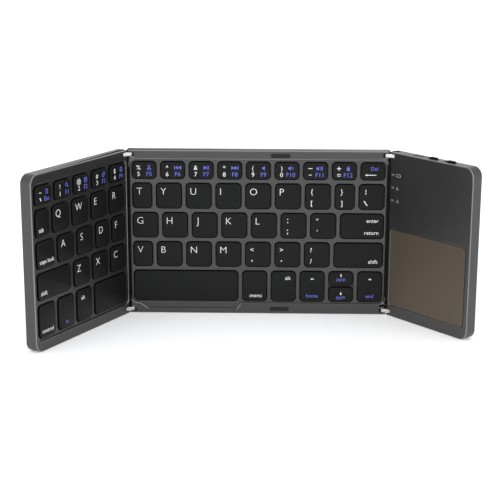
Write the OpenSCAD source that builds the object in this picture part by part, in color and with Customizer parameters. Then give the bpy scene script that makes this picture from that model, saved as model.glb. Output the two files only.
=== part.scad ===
// Tri-fold travel keyboard: a centre panel with a wing of keys on its left and a wing with a
// touchpad on its right. It stands on its front edge, with both wings folded part of the way in.
// Millimetres. The origin is the middle of the centre panel's standing edge, +Z is up and the
// keys face -Y.
//
// Each panel is drawn lying down: x runs across, y runs up from the front edge, and the key face
// is z = 0, so a depth below the face is a negative z. A wing is drawn with its fold edge at
// x = 0 and its outer edge at +x. stand() turns a flat drawing upright.

/* [Panels] */
// Width of the centre panel
centre_w = 151.7; // [148:0.1:160]
// Width of the left wing; the right wing covers what it leaves of the centre panel
left_w = 87.6; // [84:0.1:90]
// Gap between the outer edges of the two closed wings
closing_gap = 0.6; // [0.5:0.1:2]
// Depth of the keyboard, from its front edge to its rear edge
depth = 98; // [96:0.5:106]
// Thickness of each panel, without its feet
panel_t = 7.2; // [7.1:0.1:9]
// Radius of the outer corners of the wings
corner_r = 5.5; // [4:0.1:7]
// Thickness of the side walls
wall = 1.6; // [1.4:0.1:1.8]
// Thickness of the back covers
cover_t = 1; // [0.8:0.1:1.1]
// Width of the rim that stays around each back cover
rim_w = 0.8; // [0.6:0.05:1]
// Play around each back cover
cover_play = 0.05; // [0.02:0.01:0.2]

/* [Folding] */
// Angle that the left wing is folded in from flat
left_fold = 60.9; // [20:0.1:170]
// Angle that the right wing is folded in from flat
right_fold = 49.8; // [20:0.1:170]
// Gap between two panels that lie flat
fold_gap = 0.8; // [0.7:0.05:1.5]
// Distance of each fold pin from the edge and from the key face
pin_inset = 1.7; // [1.6:0.05:1.8]
// Diameter of the fold pins
pin_d = 1.2; // [1:0.05:1.3]
// Length of the fold pins
pin_l = 5.6; // [4.6:0.1:5.8]
// Radial play of a fold pin in a panel
pin_play = 0.05; // [0.02:0.01:0.09]
// Radius of the ends of the fold links
link_r = 1.4; // [1.2:0.05:1.45]
// Thickness of the fold links, along the pins
link_t = 2.2; // [1.6:0.1:2.4]
// Distance of each fold link from the nearest side face
link_inset = 1.3; // [1.2:0.05:1.6]
// Play between a fold link and its slot
link_play = 0.15; // [0.1:0.01:0.2]
// Length of the open notch that shows past the end of each link
notch_l = 1; // [0.4:0.1:1.4]
// Length of the solid blocks that carry the fold pins, across the panel
block_l = 7; // [6:0.1:9]
// Diameter of the heads of the hinge screws
screw_head_d = 2.6; // [2.2:0.1:2.8]
// Diameter of the shanks of the hinge screws
screw_d = 1.2; // [0.8:0.1:1.4]
// Length of a hinge screw's shank
screw_l = 4.2; // [3:0.1:5]
// Depth of the recess that a hinge screw's head sits in
screw_recess = 0.6; // [0.5:0.05:0.7]
// Thickness of the side face that covers the ends of the fold pins
pin_cover = 0.45; // [0.4:0.05:0.6]
// Distance of the hinge screws from the fold edge
screw_inset = 1.9; // [1.8:0.05:3]
// Distance of the hinge screws below the key face
screw_depth = 4.1; // [4.05:0.05:4.6]
// Width of the flat cable of each fold where it enters the panels
flex_w = 34; // [20:1:40]
// Distance of that cable's ends from the front and rear edges, between the panels
flex_end = 0.6; // [0.4:0.1:3]
// Thickness of the flat cables
flex_t = 0.3; // [0.2:0.05:0.4]
// Distance of their slots below the key face
flex_depth = 3.6; // [3.3:0.1:3.8]
// Length of cable that shows inside each panel
flex_tail = 2.5; // [2:0.1:2.6]

/* [Keys] */
// Depth of the well that the keys stand in, and of the thumb scoop beside it
well_depth = 1; // [0.8:0.05:1.1]
// Thickness of the webs between the key holes
web_t = 1; // [0.8:0.05:1.1]
// Radius of the well's corners
well_r = 3; // [2:0.1:4]
// Width of a letter key's hole
letter_w = 15.2; // [14.8:0.05:15.4]
// Height of a letter key's hole
letter_h = 15.4; // [15:0.05:15.8]
// Height of a number key's hole
number_h = 10.7; // [10:0.1:11.5]
// Width of the narrow holes of the T, V and right bracket keys
narrow_w = 11.8; // [11:0.1:12.5]
// Width of the D key's hole, which is narrower than the other letters'
key_d_w = 13.4; // [12.8:0.1:14]
// Width of the caps lock key's hole
caps_lock_w = 15.9; // [14.5:0.1:16.5]
// Width of the left wing's space bar hole
space_left_w = 31.3; // [29:0.1:33]
// Width of the centre panel's space bar hole
space_centre_w = 62; // [58:0.5:64]
// Width of the webs between the key holes
key_gap = 2.1; // [1.9:0.05:2.3]
// Radius of a key hole's corners
hole_r = 2.6; // [2:0.1:3]
// Gap between a keycap and its hole
moat = 0.35; // [0.25:0.05:0.4]
// Gap between the up and down arrow keys, which share a hole
pair_gap = 0.7; // [0.5:0.1:1]
// Height of a keycap's skirt
cap_h = 2.2; // [2:0.05:2.3]
// Distance of a keycap's top below the border of the panel
cap_drop = 0.1; // [0.05:0.05:0.3]
// Thickness of a keycap's roof
cap_roof = 0.8; // [0.6:0.05:1]
// Thickness of a keycap's skirt
cap_wall = 1; // [0.8:0.05:1.2]
// Diameter of the plunger under each keycap
plunger_d = 3; // [2.4:0.1:3.4]
// Travel of the keys
key_travel = 1.6; // [1.2:0.1:1.7]
// Length of the raised bars on the F and J keys
homing_l = 3.4; // [2:0.1:5]
// Height of those bars
homing_h = 0.2; // [0.1:0.05:0.3]

/* [Touchpad] */
// Height of the touchpad
pad_h = 46; // [42:0.5:48]
// Thickness of the touchpad's glass
pad_t = 1; // [0.8:0.05:1.2]
// Distance of the touchpad from the front edge
pad_y = 7; // [6.8:0.1:9]
// Distance of the touchpad from the fold edge
pad_fold_margin = 2.5; // [2.3:0.1:4]
// Distance of the touchpad from the outer edge
pad_outer_margin = 2.9; // [2.3:0.1:4]
// Radius of the touchpad's corners
pad_r = 2.5; // [1:0.1:4]
// Gap around the touchpad
pad_play = 0.1; // [0.05:0.05:0.3]
// Width of the ledge under the touchpad's edge
pad_ledge = 2; // [1.5:0.1:3]

/* [Rear face] */
// Width of the charging socket
socket_w = 7.5; // [6.8:0.1:8]
// Height of the charging socket
socket_h = 2.6; // [2.4:0.1:2.8]
// Length of the charging socket
socket_l = 5.2; // [4.5:0.1:6]
// Wall of the charging socket's shell
socket_wall = 0.3; // [0.2:0.05:0.35]
// Gap around the charging socket
socket_play = 0.2; // [0.1:0.05:0.3]
// Distance of the charging socket's middle from the middle of the rear wall's straight part
socket_x = -12.6; // [-13.6:0.1:-12.3]
// Distance of the power switch's middle from there, switched on
power_x = -1.7; // [-2:0.1:-0.7]
// Distance of the mode switch's middle from there
mode_x = 11.5; // [11:0.1:13]
// Width of a switch knob
knob_w = 5; // [4:0.1:5.5]
// Height of a switch knob
knob_h = 2.2; // [1.8:0.1:2.4]
// Distance that a switch knob stands out
knob_out = 0.9; // [0.5:0.1:1.5]
// Travel of the switch knobs
knob_travel = 2.6; // [2:0.1:3]
// Play of a switch knob in its slot
knob_play = 0.15; // [0.1:0.05:0.2]
// Height of the flange that keeps a knob in
flange_h = 3; // [2.8:0.05:3.2]

/* [Inside] */
// Thickness of the switch membranes
membrane_t = 0.4; // [0.3:0.05:0.5]
// Diameter of a rubber dome's foot
dome_d = 6; // [5:0.1:6.2]
// Diameter of a rubber dome's top
dome_top_d = 3; // [2.4:0.1:3.4]
// Wall of a rubber dome
dome_wall = 0.5; // [0.3:0.05:0.7]
// Gap between a rubber dome and its plunger
dome_play = 0.05; // [0.02:0.01:0.2]
// Room that a pressed key leaves above the membrane
press_room = 0.4; // [0.2:0.05:0.5]
// Thickness of the metal key bases
base_t = 0.5; // [0.4:0.05:0.6]
// Diameter of the posts that stand on the key bases
post_d = 1.8; // [1.4:0.1:1.8]
// Thickness of the circuit board
board_t = 0.8; // [0.6:0.05:1]
// Thickness of the battery
battery_t = 3.2; // [2.5:0.1:3.6]
// Length of the indicator lights
light_l = 2.2; // [1.6:0.1:2.4]
// Height of the indicator lights
light_h = 1.1; // [0.8:0.1:1.4]
// Distance of the lowest indicator light below the rear edge
light_y = 28; // [28:0.5:32]
// Distance between the indicator lights
light_pitch = 7.5; // [6:0.1:8]

/* [Rubber] */
// Length of a rubber foot
foot_l = 24; // [15:0.5:30]
// Width of a rubber foot
foot_w = 4; // [3:0.1:6]
// Distance that the feet stand out
foot_out = 0.8; // [0.5:0.05:1]
// Depth of the pocket under a foot or bumper
pocket = 0.4; // [0.3:0.05:0.5]
// Length of the bumpers that the wings close against
bumper_l = 11.2; // [8:0.1:14]
// Height of those bumpers
bumper_w = 2.2; // [1.6:0.1:2.4]
// Distance of the bumpers from the front and rear edges
bumper_y = 2.9; // [2.2:0.1:3]
// Distance of the bumpers' middle to the right of the centre panel's middle
bumper_x = 12.8; // [11:0.1:14]
// Gap between a bumper and a closed wing
bumper_play = 0.35; // [0.25:0.05:0.5]

/* [Hidden] */

eps = 0.01; // overlap of the tools that cut right through
through = 40; // length of a tool that cuts right through
$fn = 48;

right_w = centre_w - left_w - closing_gap;
centre_half = centre_w / 2;
cover_depth = panel_t - cover_t;
deck_t = well_depth + web_t;
mid_depth = panel_t / 2;

// fold geometry
link_pitch = 2 * pin_inset + fold_gap;
bore_d = pin_d + 2 * pin_play;
slot_l = pin_inset + link_r + notch_l;
slot_depth = pin_inset + link_r + link_play;
slot_w = link_t + 2 * link_play;
block_h = 6.6;
flex_offset = 9; // the flat cables cross a little below the middle of the fold
flex_play = 0.1;
flex_end_play = 0.5;
screw_head_t = screw_recess - 0.2;
screw_recess_d = screw_head_d + 0.4;

// key layout
centre_margin = 2.45; // from the panel's edge to the first key hole
wing_margin = 3.1;
front_margin = 7.3;
rear_margin = 6.4;

// from the key holes to the edge of the well
well_side = 1;
well_front = 0.9;
well_rear = 1;
wing_well_side = 1.5;
wing_well_front = 1.2;
wing_well_rear = 0.9;
wing_well_more_r = 0.6;

// the thumb scoop, from the panel's left edge to where the space bar's hole ends
scoop_slope = 4.8;
scoop_start = 11.1;
scoop_y = 3.1;
scoop_end_front = -1.1;
scoop_end_rear = 0.9;

space_h = depth - front_margin - rear_margin - 3 * letter_h - number_h - 4 * key_gap;
row_h = [space_h, letter_h, letter_h, letter_h, number_h];

// width of each panel's key field, and the width that the key widths above are given for
centre_field = [centre_w - 2 * centre_margin, 146.8];
left_field = [left_w - 2 * wing_margin, 81.4];

// rows of holes from the front edge up, each as [name, width]; a given width follows its key
// field, and the holes of width 0 share the rest evenly
centre_rows = [
    [["space_bar_centre", space_centre_w], ["command", 0], ["option", 0],
        ["arrow_left", 0], ["arrows_up_down", 0], ["arrow_right", 0]],
    [["key_v", narrow_w], ["key_b", letter_w], ["key_n", letter_w], ["key_m", letter_w],
        ["comma", letter_w], ["period", letter_w], ["slash", letter_w], ["right_shift", 0]],
    [["key_g", letter_w], ["key_h", letter_w], ["key_j", letter_w], ["key_k", letter_w],
        ["key_l", letter_w], ["semicolon", letter_w], ["quote", letter_w], ["enter", 0]],
    [["key_t", narrow_w], ["key_y", letter_w], ["key_u", letter_w], ["key_i", letter_w],
        ["key_o", letter_w], ["key_p", letter_w], ["left_bracket", letter_w],
        ["right_bracket", narrow_w], ["backslash", 0]],
    [["digit_5", 0], ["digit_6", 0], ["digit_7", 0], ["digit_8", 0], ["digit_9", 0],
        ["digit_0", 0], ["minus", 0], ["equals", 0], ["backspace", 0]]
];
left_rows = [
    [["space_bar_left", space_left_w], ["left_alt", 0], ["function", 0], ["control", 0]],
    [["key_c", letter_w], ["key_x", letter_w], ["key_z", letter_w], ["left_shift", 0]],
    [["key_f", 0], ["key_d", key_d_w], ["key_s", letter_w], ["key_a", letter_w],
        ["caps_lock", caps_lock_w]],
    [["key_r", letter_w], ["key_e", letter_w], ["key_w", letter_w], ["key_q", letter_w],
        ["tab", 0]],
    [["digit_4", 0], ["digit_3", 0], ["digit_2", 0], ["digit_1", 0], ["tilde", 0]]
];
centre_numbers = ["digit_5", "digit_6", "digit_7", "digit_8", "digit_9", "digit_0", "minus",
    "equals"];
punctuation_and_commands = ["comma", "period", "slash", "semicolon", "quote", "left_bracket",
    "right_bracket", "backslash", "backspace", "enter", "right_shift", "command", "option",
    "arrow_left", "arrows_up_down", "arrow_right"];
left_numbers_and_modifiers = ["digit_4", "digit_3", "digit_2", "digit_1", "tilde", "tab",
    "caps_lock", "left_shift", "control", "function", "left_alt"];
centre_single_keys = ["key_b", "key_g", "key_h", "key_i", "key_j", "key_k", "key_l", "key_m",
    "key_n", "key_o", "key_p", "key_t", "key_u", "key_v", "key_y", "space_bar_centre"];
left_single_keys = ["key_a", "key_c", "key_d", "key_e", "key_f", "key_q", "key_r", "key_s",
    "key_w", "key_x", "key_z", "space_bar_left"];

function total(list, i = 0) = i < len(list) ? list[i] + total(list, i + 1) : 0;
function has(list, item) = len([for (entry = list) if (entry == item) entry]) > 0;
function given_w(row) = total([for (hole = row) hole[1]]);
function open_count(row) = len([for (hole = row) if (hole[1] == 0) hole]);
function hole_w(row, i, field) = let (follow = field[0] / field[1])
    row[i][1] > 0 ? row[i][1] * follow
        : (field[0] - given_w(row) * follow - key_gap * (len(row) - 1)) / open_count(row);
function hole_x(row, i, field) = i == 0 ? 0
    : hole_x(row, i - 1, field) + hole_w(row, i - 1, field) + key_gap;
function row_y(r) = r == 0 ? front_margin : row_y(r - 1) + row_h[r - 1] + key_gap;
// every hole of a panel as [name, x, y, width, height]
function holes(rows, x0, field) = [
    for (r = [0 : len(rows) - 1])
        for (i = [0 : len(rows[r]) - 1])
            [rows[r][i][0], x0 + hole_x(rows[r], i, field), row_y(r),
                hole_w(rows[r], i, field), row_h[r]]
];
// a hole's keycaps as [x, y, width, height]; the up and down arrows share one hole
function caps(hole) = hole[0] == "arrows_up_down"
    ? let (half_h = (hole[4] - pair_gap) / 2)
        [[hole[1] + moat, hole[2] + moat, hole[3] - 2 * moat, half_h - moat],
            [hole[1] + moat, hole[2] + half_h + pair_gap, hole[3] - 2 * moat, half_h - moat]]
    : [[hole[1] + moat, hole[2] + moat, hole[3] - 2 * moat, hole[4] - 2 * moat]];

centre_holes = holes(centre_rows, centre_margin - centre_half, centre_field);
left_holes = holes(left_rows, wing_margin, left_field);

homing_y = 1.4;
homing_w = 0.5;

// sheets, ribs and feet
post_play = 0.15;
sheet_play = 0.3;
sheet_y = block_h + sheet_play;
sheet_h = depth - 2 * sheet_y;
rib_t = 1.5;
rib_inset = 2;
foot_x = 21.25;
foot_y = 9;

// depths below the key face
cap_bottom = cap_drop + cap_h;
membrane_depth = cap_bottom + key_travel + press_room;
base_depth = membrane_depth + membrane_t;
dome_h = membrane_depth - cap_bottom - dome_play;
board_depth = mid_depth + socket_h / 2;

// right wing
pad_w = right_w - pad_fold_margin - pad_outer_margin;
rear_mid = (block_l + right_w - corner_r) / 2;
light_x = 3;
board_play = 0.6;
board_gap = 1.2; // from the board to the rear wall, and to the blocks in front of it
board_x = wall + board_play;
board_pad_gap = 3;
board_y = pad_y + pad_h + board_pad_gap;
board_w = right_w - 2 * board_x;
board_h = depth - block_h - board_gap - board_y;
board_rear = depth - wall - board_gap;
board_block_gap = 1;
board_corner_gap = 2;
boss_side = 9.8;
boss_front = 5;
boss_rear = 5.8;
socket_face = 0.4;
switch_slot_w = knob_w + knob_travel + 2 * knob_play;
flange_t = 0.9;
flange_gap = 0.1;
flange_side = 1;
battery_margin = 7;
battery_front = 2;
battery_rear = 1;
battery_r = 1.5;
boss_d = 3;

steel = [0.72, 0.73, 0.74];
frame_grey = [0.3, 0.3, 0.29];
cover_grey = [0.24, 0.24, 0.24];
key_black = [0.13, 0.13, 0.13];
rubber_black = [0.06, 0.06, 0.06];

// ---- placing

// upright, with the centre panel's mid-thickness on Y = 0
module stand() {
    translate([0, -mid_depth, 0]) rotate([90, 0, 0]) children();
}

// turns about a line along y through [x, z]
module turn_about(x, z, angle) {
    translate([x, 0, z]) rotate([0, angle, 0]) translate([-x, 0, -z]) children();
}

// parts of the left fold, drawn flat with the centre panel's edge at x = 0 and the wing at +x
module at_left_fold() {
    stand() translate([-centre_half, 0, 0]) mirror([1, 0, 0])
        turn_about(-pin_inset, -pin_inset, -left_fold / 2) children();
}

module at_right_fold() {
    stand() translate([centre_half, 0, 0])
        turn_about(-pin_inset, -pin_inset, -right_fold / 2) children();
}

// a wing, drawn flat with its own fold edge at x = 0
module at_wing(fold) {
    turn_about(fold_gap + pin_inset, -pin_inset, -fold / 2) translate([fold_gap, 0, 0])
        children();
}

module left_wing() {
    at_left_fold() at_wing(left_fold) children();
}

module right_wing() {
    at_right_fold() at_wing(right_fold) children();
}

// what is drawn at a panel's left fold edge, at both folds of the centre panel
module at_centre_folds() {
    for (side = [0, 1]) mirror([side, 0, 0]) translate([-centre_half, 0, 0]) children();
}

// what is drawn near the front edge, there and near the rear edge
module front_and_rear() {
    children();
    translate([0, depth, 0]) mirror([0, 1, 0]) children();
}

// ---- shapes

module round_rect(x, y, w, h, r) {
    translate([x + r, y]) square([w - 2 * r, h]);
    translate([x, y + r]) square([w, h - 2 * r]);
    for (cx = [x + r, x + w - r], cy = [y + r, y + h - r]) translate([cx, cy]) circle(r);
}

// square on the fold side, round on the outer side
module wing_outline(w, inset) {
    r = corner_r - inset;
    translate([inset, inset]) square([w - corner_r - inset, depth - 2 * inset]);
    translate([inset, corner_r]) square([w - 2 * inset, depth - 2 * corner_r]);
    for (y = [corner_r, depth - corner_r]) translate([w - corner_r, y]) circle(r);
}

module centre_outline(inset) {
    translate([inset - centre_half, inset])
        square([centre_w - 2 * inset, depth - 2 * inset]);
}

// extrudes a flat shape from one depth below the face to another
module layer(top, bottom) {
    translate([0, 0, -bottom]) linear_extrude(bottom - top) children();
}

// extrudes a section in x and z along y
module along_y(y, length) {
    translate([0, y + length, 0]) rotate([90, 0, 0]) linear_extrude(length) children();
}

// section of a panel, with its fold edges rounded about the pins
module panel_section(x0, x1, round_start, round_end) {
    difference() {
        translate([x0, -panel_t]) square([x1 - x0, panel_t]);
        if (round_start) translate([x0, -pin_inset]) square(pin_inset);
        if (round_end) translate([x1 - pin_inset, -pin_inset]) square(pin_inset);
    }
    if (round_start) translate([x0 + pin_inset, -pin_inset]) circle(pin_inset);
    if (round_end) translate([x1 - pin_inset, -pin_inset]) circle(pin_inset);
}

module centre_blank() {
    along_y(0, depth) panel_section(-centre_half, centre_half, true, true);
}

module wing_blank(w) {
    intersection() {
        along_y(0, depth) panel_section(0, w, true, false);
        layer(0, panel_t) wing_outline(w, 0);
    }
}

// the room inside a panel, less the blocks that carry the fold pins at x = 0
module fold_blocks() {
    for (y = [-1, depth - block_h]) translate([-1, y]) square([block_l + 1, block_h + 1]);
}

module centre_room() {
    difference() {
        centre_outline(wall);
        at_centre_folds() fold_blocks();
    }
}

module wing_room(w) {
    difference() {
        wing_outline(w, wall);
        fold_blocks();
    }
}

// slots for the links, bores for the pins and recesses for the screws of one fold edge
module fold_cuts() {
    front_and_rear() {
        translate([-eps, link_inset - link_play, -slot_depth])
            cube([slot_l + eps, slot_w, slot_depth + 1]);
        translate([pin_inset, pin_cover, -pin_inset]) rotate([-90, 0, 0])
            cylinder(d = bore_d, h = pin_l + 2 * pin_play);
        translate([screw_inset, -1, -screw_depth]) rotate([-90, 0, 0]) {
            cylinder(d = screw_recess_d, h = screw_recess + 1);
            cylinder(d = screw_d, h = screw_recess + screw_l + 1);
        }
    }
    flex_slot();
}

module flex_slot() {
    translate([-1, (depth - flex_w) / 2 - flex_offset - flex_end_play,
        -flex_depth - flex_t / 2 - flex_play])
        cube([wall + 1 + eps, flex_w + 2 * flex_end_play, flex_t + 2 * flex_play]);
}

module hinge_screws() {
    front_and_rear() translate([screw_inset, screw_recess, -screw_depth])
        rotate([-90, 0, 0]) {
            cylinder(d = screw_d, h = screw_l);
            translate([0, 0, -screw_head_t]) cylinder(d = screw_head_d, h = screw_head_t);
        }
}

module key_holes(list) {
    for (hole = list) round_rect(hole[1], hole[2], hole[3], hole[4], hole_r);
}

// posts that stand in front of these rows, from the webs down to the key base
post_rows = [1, 3, 4];
module post_places(x0, x1, count) {
    for (r = post_rows, i = [0 : count - 1])
        translate([x0 + (i + 0.5) * (x1 - x0) / count, row_y(r) - key_gap / 2]) children();
}

module keycap(x, y, w, h) {
    translate([0, 0, -cap_bottom]) {
        difference() {
            linear_extrude(cap_h) round_rect(x, y, w, h, hole_r - moat);
            translate([0, 0, -1]) linear_extrude(cap_h - cap_roof + 1)
                round_rect(x + cap_wall, y + cap_wall, w - 2 * cap_wall, h - 2 * cap_wall,
                    hole_r - moat - cap_wall / 2);
        }
        translate([x + w / 2, y + h / 2, 0]) cylinder(d = plunger_d, h = cap_h - cap_roof);
    }
}

module homing_bar(cap) {
    translate([cap[0] + (cap[2] - homing_l) / 2, cap[1] + homing_y, -cap_drop])
        cube([homing_l, homing_w, homing_h]);
}

// the keycaps of the holes that are named
module keys(list, names) {
    color(key_black) for (hole = list) if (has(names, hole[0])) for (cap = caps(hole)) {
        keycap(cap[0], cap[1], cap[2], cap[3]);
        if (hole[0] == "key_f" || hole[0] == "key_j") homing_bar(cap);
    }
}

// a membrane with a rubber dome under each keycap
module switch_membrane(list, x0, x1, count) {
    layer(membrane_depth, base_depth) difference() {
        translate([x0, sheet_y]) square([x1 - x0, sheet_h]);
        post_places(x0, x1, count) circle(d = post_d + 2 * post_play);
    }
    for (hole = list, cap = caps(hole))
        translate([cap[0] + cap[2] / 2, cap[1] + cap[3] / 2, -membrane_depth]) difference() {
            cylinder(d1 = dome_d, d2 = dome_top_d, h = dome_h);
            translate([0, 0, -eps]) cylinder(d1 = dome_d - 2 * dome_wall,
                d2 = dome_top_d - 2 * dome_wall, h = dome_h - dome_wall);
        }
}

module key_base(x0, x1) {
    color(steel) layer(base_depth, base_depth + base_t)
        translate([x0, sheet_y]) square([x1 - x0, sheet_h]);
}

// ribs on a back cover that hold the key base up against its posts
module cover_ribs(x0, x1, count) {
    for (i = [0 : count - 1])
        translate([x0 + (i + 0.5) * (x1 - x0) / count - rib_t / 2, sheet_y + rib_inset])
            square([rib_t, sheet_h - 2 * rib_inset]);
}

module foot_shape(x, y) {
    translate([x, y]) round_rect(-foot_l / 2, -foot_w / 2, foot_l, foot_w, foot_w / 2 - eps);
}

module centre_feet_places() {
    for (x = [foot_x - centre_half, centre_half - foot_x], y = [foot_y, depth - foot_y])
        foot_shape(x, y);
}

module wing_feet_places(w) {
    for (y = [foot_y, depth - foot_y]) foot_shape(w / 2, y);
}

module bumper_places() {
    for (y = [bumper_y, depth - bumper_y])
        round_rect(bumper_x - bumper_l / 2, y - bumper_w / 2, bumper_l, bumper_w,
            bumper_w / 2 - eps);
}

// ---- centre panel

// the well that the keys stand in, with the thumb scoop in front of the space bar
module centre_well() {
    well_x = centre_margin - well_side;
    well_y = front_margin - well_front;
    space_end = centre_margin + hole_w(centre_rows[0], 0, centre_field);
    round_rect(well_x - centre_half, well_y, centre_w - 2 * well_x,
        depth - well_y - rear_margin + well_rear, well_r);
    translate([-centre_half, 0]) polygon([
        [scoop_start - scoop_slope, well_y + eps], [scoop_start, scoop_y],
        [space_end + scoop_end_front, scoop_y], [space_end + scoop_end_rear, well_y + eps]
    ]);
}

module centre_top_frame() {
    color(frame_grey) stand() {
        difference() {
            centre_blank();
            layer(-1, well_depth) centre_well();
            layer(well_depth - eps, deck_t + eps) key_holes(centre_holes);
            layer(deck_t, cover_depth + eps) centre_room();
            layer(cover_depth, panel_t + 1) centre_outline(rim_w);
            at_centre_folds() fold_cuts();
            layer(-1, pocket) bumper_places();
        }
        layer(deck_t - eps, base_depth) post_places(-centre_half + wall, centre_half - wall, 5)
            circle(d = post_d);
    }
}

module centre_bottom_cover() {
    color(cover_grey) stand() {
        difference() {
            layer(cover_depth, panel_t) centre_outline(rim_w + cover_play);
            layer(panel_t - pocket, panel_t + 1) centre_feet_places();
        }
        layer(base_depth + base_t, cover_depth + eps) cover_ribs(-centre_half, centre_half, 4);
    }
}

module centre_hinge_screws() {
    color(steel) stand() at_centre_folds() hinge_screws();
}

module centre_feet_and_bumpers() {
    color(rubber_black) stand() {
        layer(panel_t - pocket, panel_t + foot_out) centre_feet_places();
        layer(bumper_play - fold_gap, pocket) bumper_places();
    }
}

module centre_key_base() {
    stand() key_base(-centre_half + wall + sheet_play, centre_half - wall - sheet_play);
}

module centre_switch_membrane() {
    color(rubber_black) stand()
        switch_membrane(centre_holes, -centre_half + wall + sheet_play,
            centre_half - wall - sheet_play, 5);
}

// ---- left wing

module left_top_frame() {
    well_x = wing_margin - wing_well_side;
    well_y = front_margin - wing_well_front;
    color(frame_grey) left_wing() {
        difference() {
            wing_blank(left_w);
            layer(-1, well_depth)
                round_rect(well_x, well_y, left_w - 2 * well_x,
                    depth - well_y - rear_margin + wing_well_rear, well_r + wing_well_more_r);
            layer(well_depth - eps, deck_t + eps) key_holes(left_holes);
            layer(deck_t, cover_depth + eps) wing_room(left_w);
            layer(cover_depth, panel_t + 1) wing_outline(left_w, rim_w);
            fold_cuts();
        }
        layer(deck_t - eps, base_depth)
            post_places(wall + sheet_play, left_w - wall - sheet_play, 3) circle(d = post_d);
    }
}

module left_bottom_cover() {
    color(cover_grey) left_wing() {
        difference() {
            layer(cover_depth, panel_t) wing_outline(left_w, rim_w + cover_play);
            layer(panel_t - pocket, panel_t + 1) wing_feet_places(left_w);
        }
        layer(base_depth + base_t, cover_depth + eps) cover_ribs(0, left_w, 2);
    }
}

module left_hinge_screws() {
    color(steel) left_wing() hinge_screws();
}

module left_feet() {
    color(rubber_black) left_wing() layer(panel_t - pocket, panel_t + foot_out)
        wing_feet_places(left_w);
}

module left_key_base() {
    left_wing() key_base(wall + sheet_play, left_w - wall - sheet_play);
}

module left_switch_membrane() {
    color(rubber_black) left_wing()
        switch_membrane(left_holes, wall + sheet_play, left_w - wall - sheet_play, 3);
}

// ---- right wing

module pad_outline(grow) {
    round_rect(pad_fold_margin - grow, pad_y - grow, pad_w + 2 * grow, pad_h + 2 * grow,
        pad_r + grow);
}

// an opening in the rear wall, from the inside out
module rear_cut(x, w, h) {
    translate([x - w / 2, depth - wall - 1, -mid_depth - h / 2]) cube([w, wall + 2, h]);
}

module light_places() {
    for (i = [0 : 2]) translate([light_x, depth - light_y + i * light_pitch])
        round_rect(-light_l / 2, -light_h / 2, light_l, light_h, light_h / 2 - eps);
}

module right_top_frame() {
    color(frame_grey) right_wing() difference() {
        wing_blank(right_w);
        layer(-1, pad_t) pad_outline(pad_play);
        layer(pad_t - eps, deck_t + eps) pad_outline(-pad_ledge);
        layer(deck_t, cover_depth + eps) wing_room(right_w);
        layer(cover_depth, panel_t + 1) wing_outline(right_w, rim_w);
        layer(-1, deck_t + 1) light_places();
        rear_cut(rear_mid + socket_x, socket_w + 2 * socket_play, socket_h + 2 * socket_play);
        for (x = [power_x, mode_x])
            rear_cut(rear_mid + x - knob_travel / 2, switch_slot_w, knob_h + 2 * knob_play);
        fold_cuts();
    }
}

module board_outline() {
    translate([board_x, board_y]) square([board_w, board_h]);
    translate([block_l + board_block_gap, board_y])
        square([right_w - corner_r - board_corner_gap - block_l - board_block_gap,
            board_rear - board_y]);
}

module boss_places() {
    for (x = [boss_side, board_w - boss_side], y = [boss_front, board_h - boss_rear])
        translate([board_x + x, board_y + y]) circle(d = boss_d);
}

module right_bottom_cover() {
    color(cover_grey) right_wing() {
        difference() {
            layer(cover_depth, panel_t) wing_outline(right_w, rim_w + cover_play);
            layer(panel_t - pocket, panel_t + 1) wing_feet_places(right_w);
        }
        layer(board_depth + board_t, cover_depth + eps) boss_places();
    }
}

module right_hinge_screws() {
    color(steel) right_wing() hinge_screws();
}

module right_feet() {
    color(rubber_black) right_wing() layer(panel_t - pocket, panel_t + foot_out)
        wing_feet_places(right_w);
}

// glass with its sensor board under it
module touchpad() {
    sensor_t = 0.7;
    color([0.34, 0.3, 0.26]) right_wing() {
        layer(0, pad_t) pad_outline(0);
        layer(pad_t - eps, pad_t + sensor_t) pad_outline(-pad_ledge - pad_play);
    }
}

module chip(x, y, w, h, t) {
    translate([x, y, -board_depth]) cube([w, h, t]);
}

// the board with what is soldered to it: lamps, switch bodies, radio and processor
module main_circuit_board() {
    lamp = [1.6, 0.8, 0.5];
    lamp_shift = 0.2;
    switch_side = 0.7;
    switch_body_w = knob_w + knob_travel + 2 * switch_side;
    switch_body_l = 4;
    switch_body_h = 2.3;
    // each as [x, y, width, height, thickness], with y from the board's front edge
    chips = [[14, 10, 12, 9, 1.4], [34, 6, 7, 7, 1], [30, 18, 9, 3, 1.2]];
    color([0.1, 0.35, 0.2]) right_wing() {
        layer(board_depth, board_depth + board_t) board_outline();
        for (i = [0 : 2])
            chip(light_x - lamp[0] / 2 + lamp_shift,
                depth - light_y + i * light_pitch - lamp[1] / 2, lamp[0], lamp[1], lamp[2]);
        for (x = [power_x, mode_x])
            chip(rear_mid + x - (knob_travel + switch_body_w) / 2, board_rear - switch_body_l,
                switch_body_w, switch_body_l, switch_body_h);
        for (c = chips) chip(c[0], board_y + c[1], c[2], c[3], c[4]);
    }
}

module battery() {
    color([0.6, 0.6, 0.62]) right_wing() layer(cover_depth - battery_t, cover_depth)
        round_rect(battery_margin, pad_y + battery_front, right_w - 2 * battery_margin,
            pad_h - battery_front - battery_rear, battery_r);
}

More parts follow.
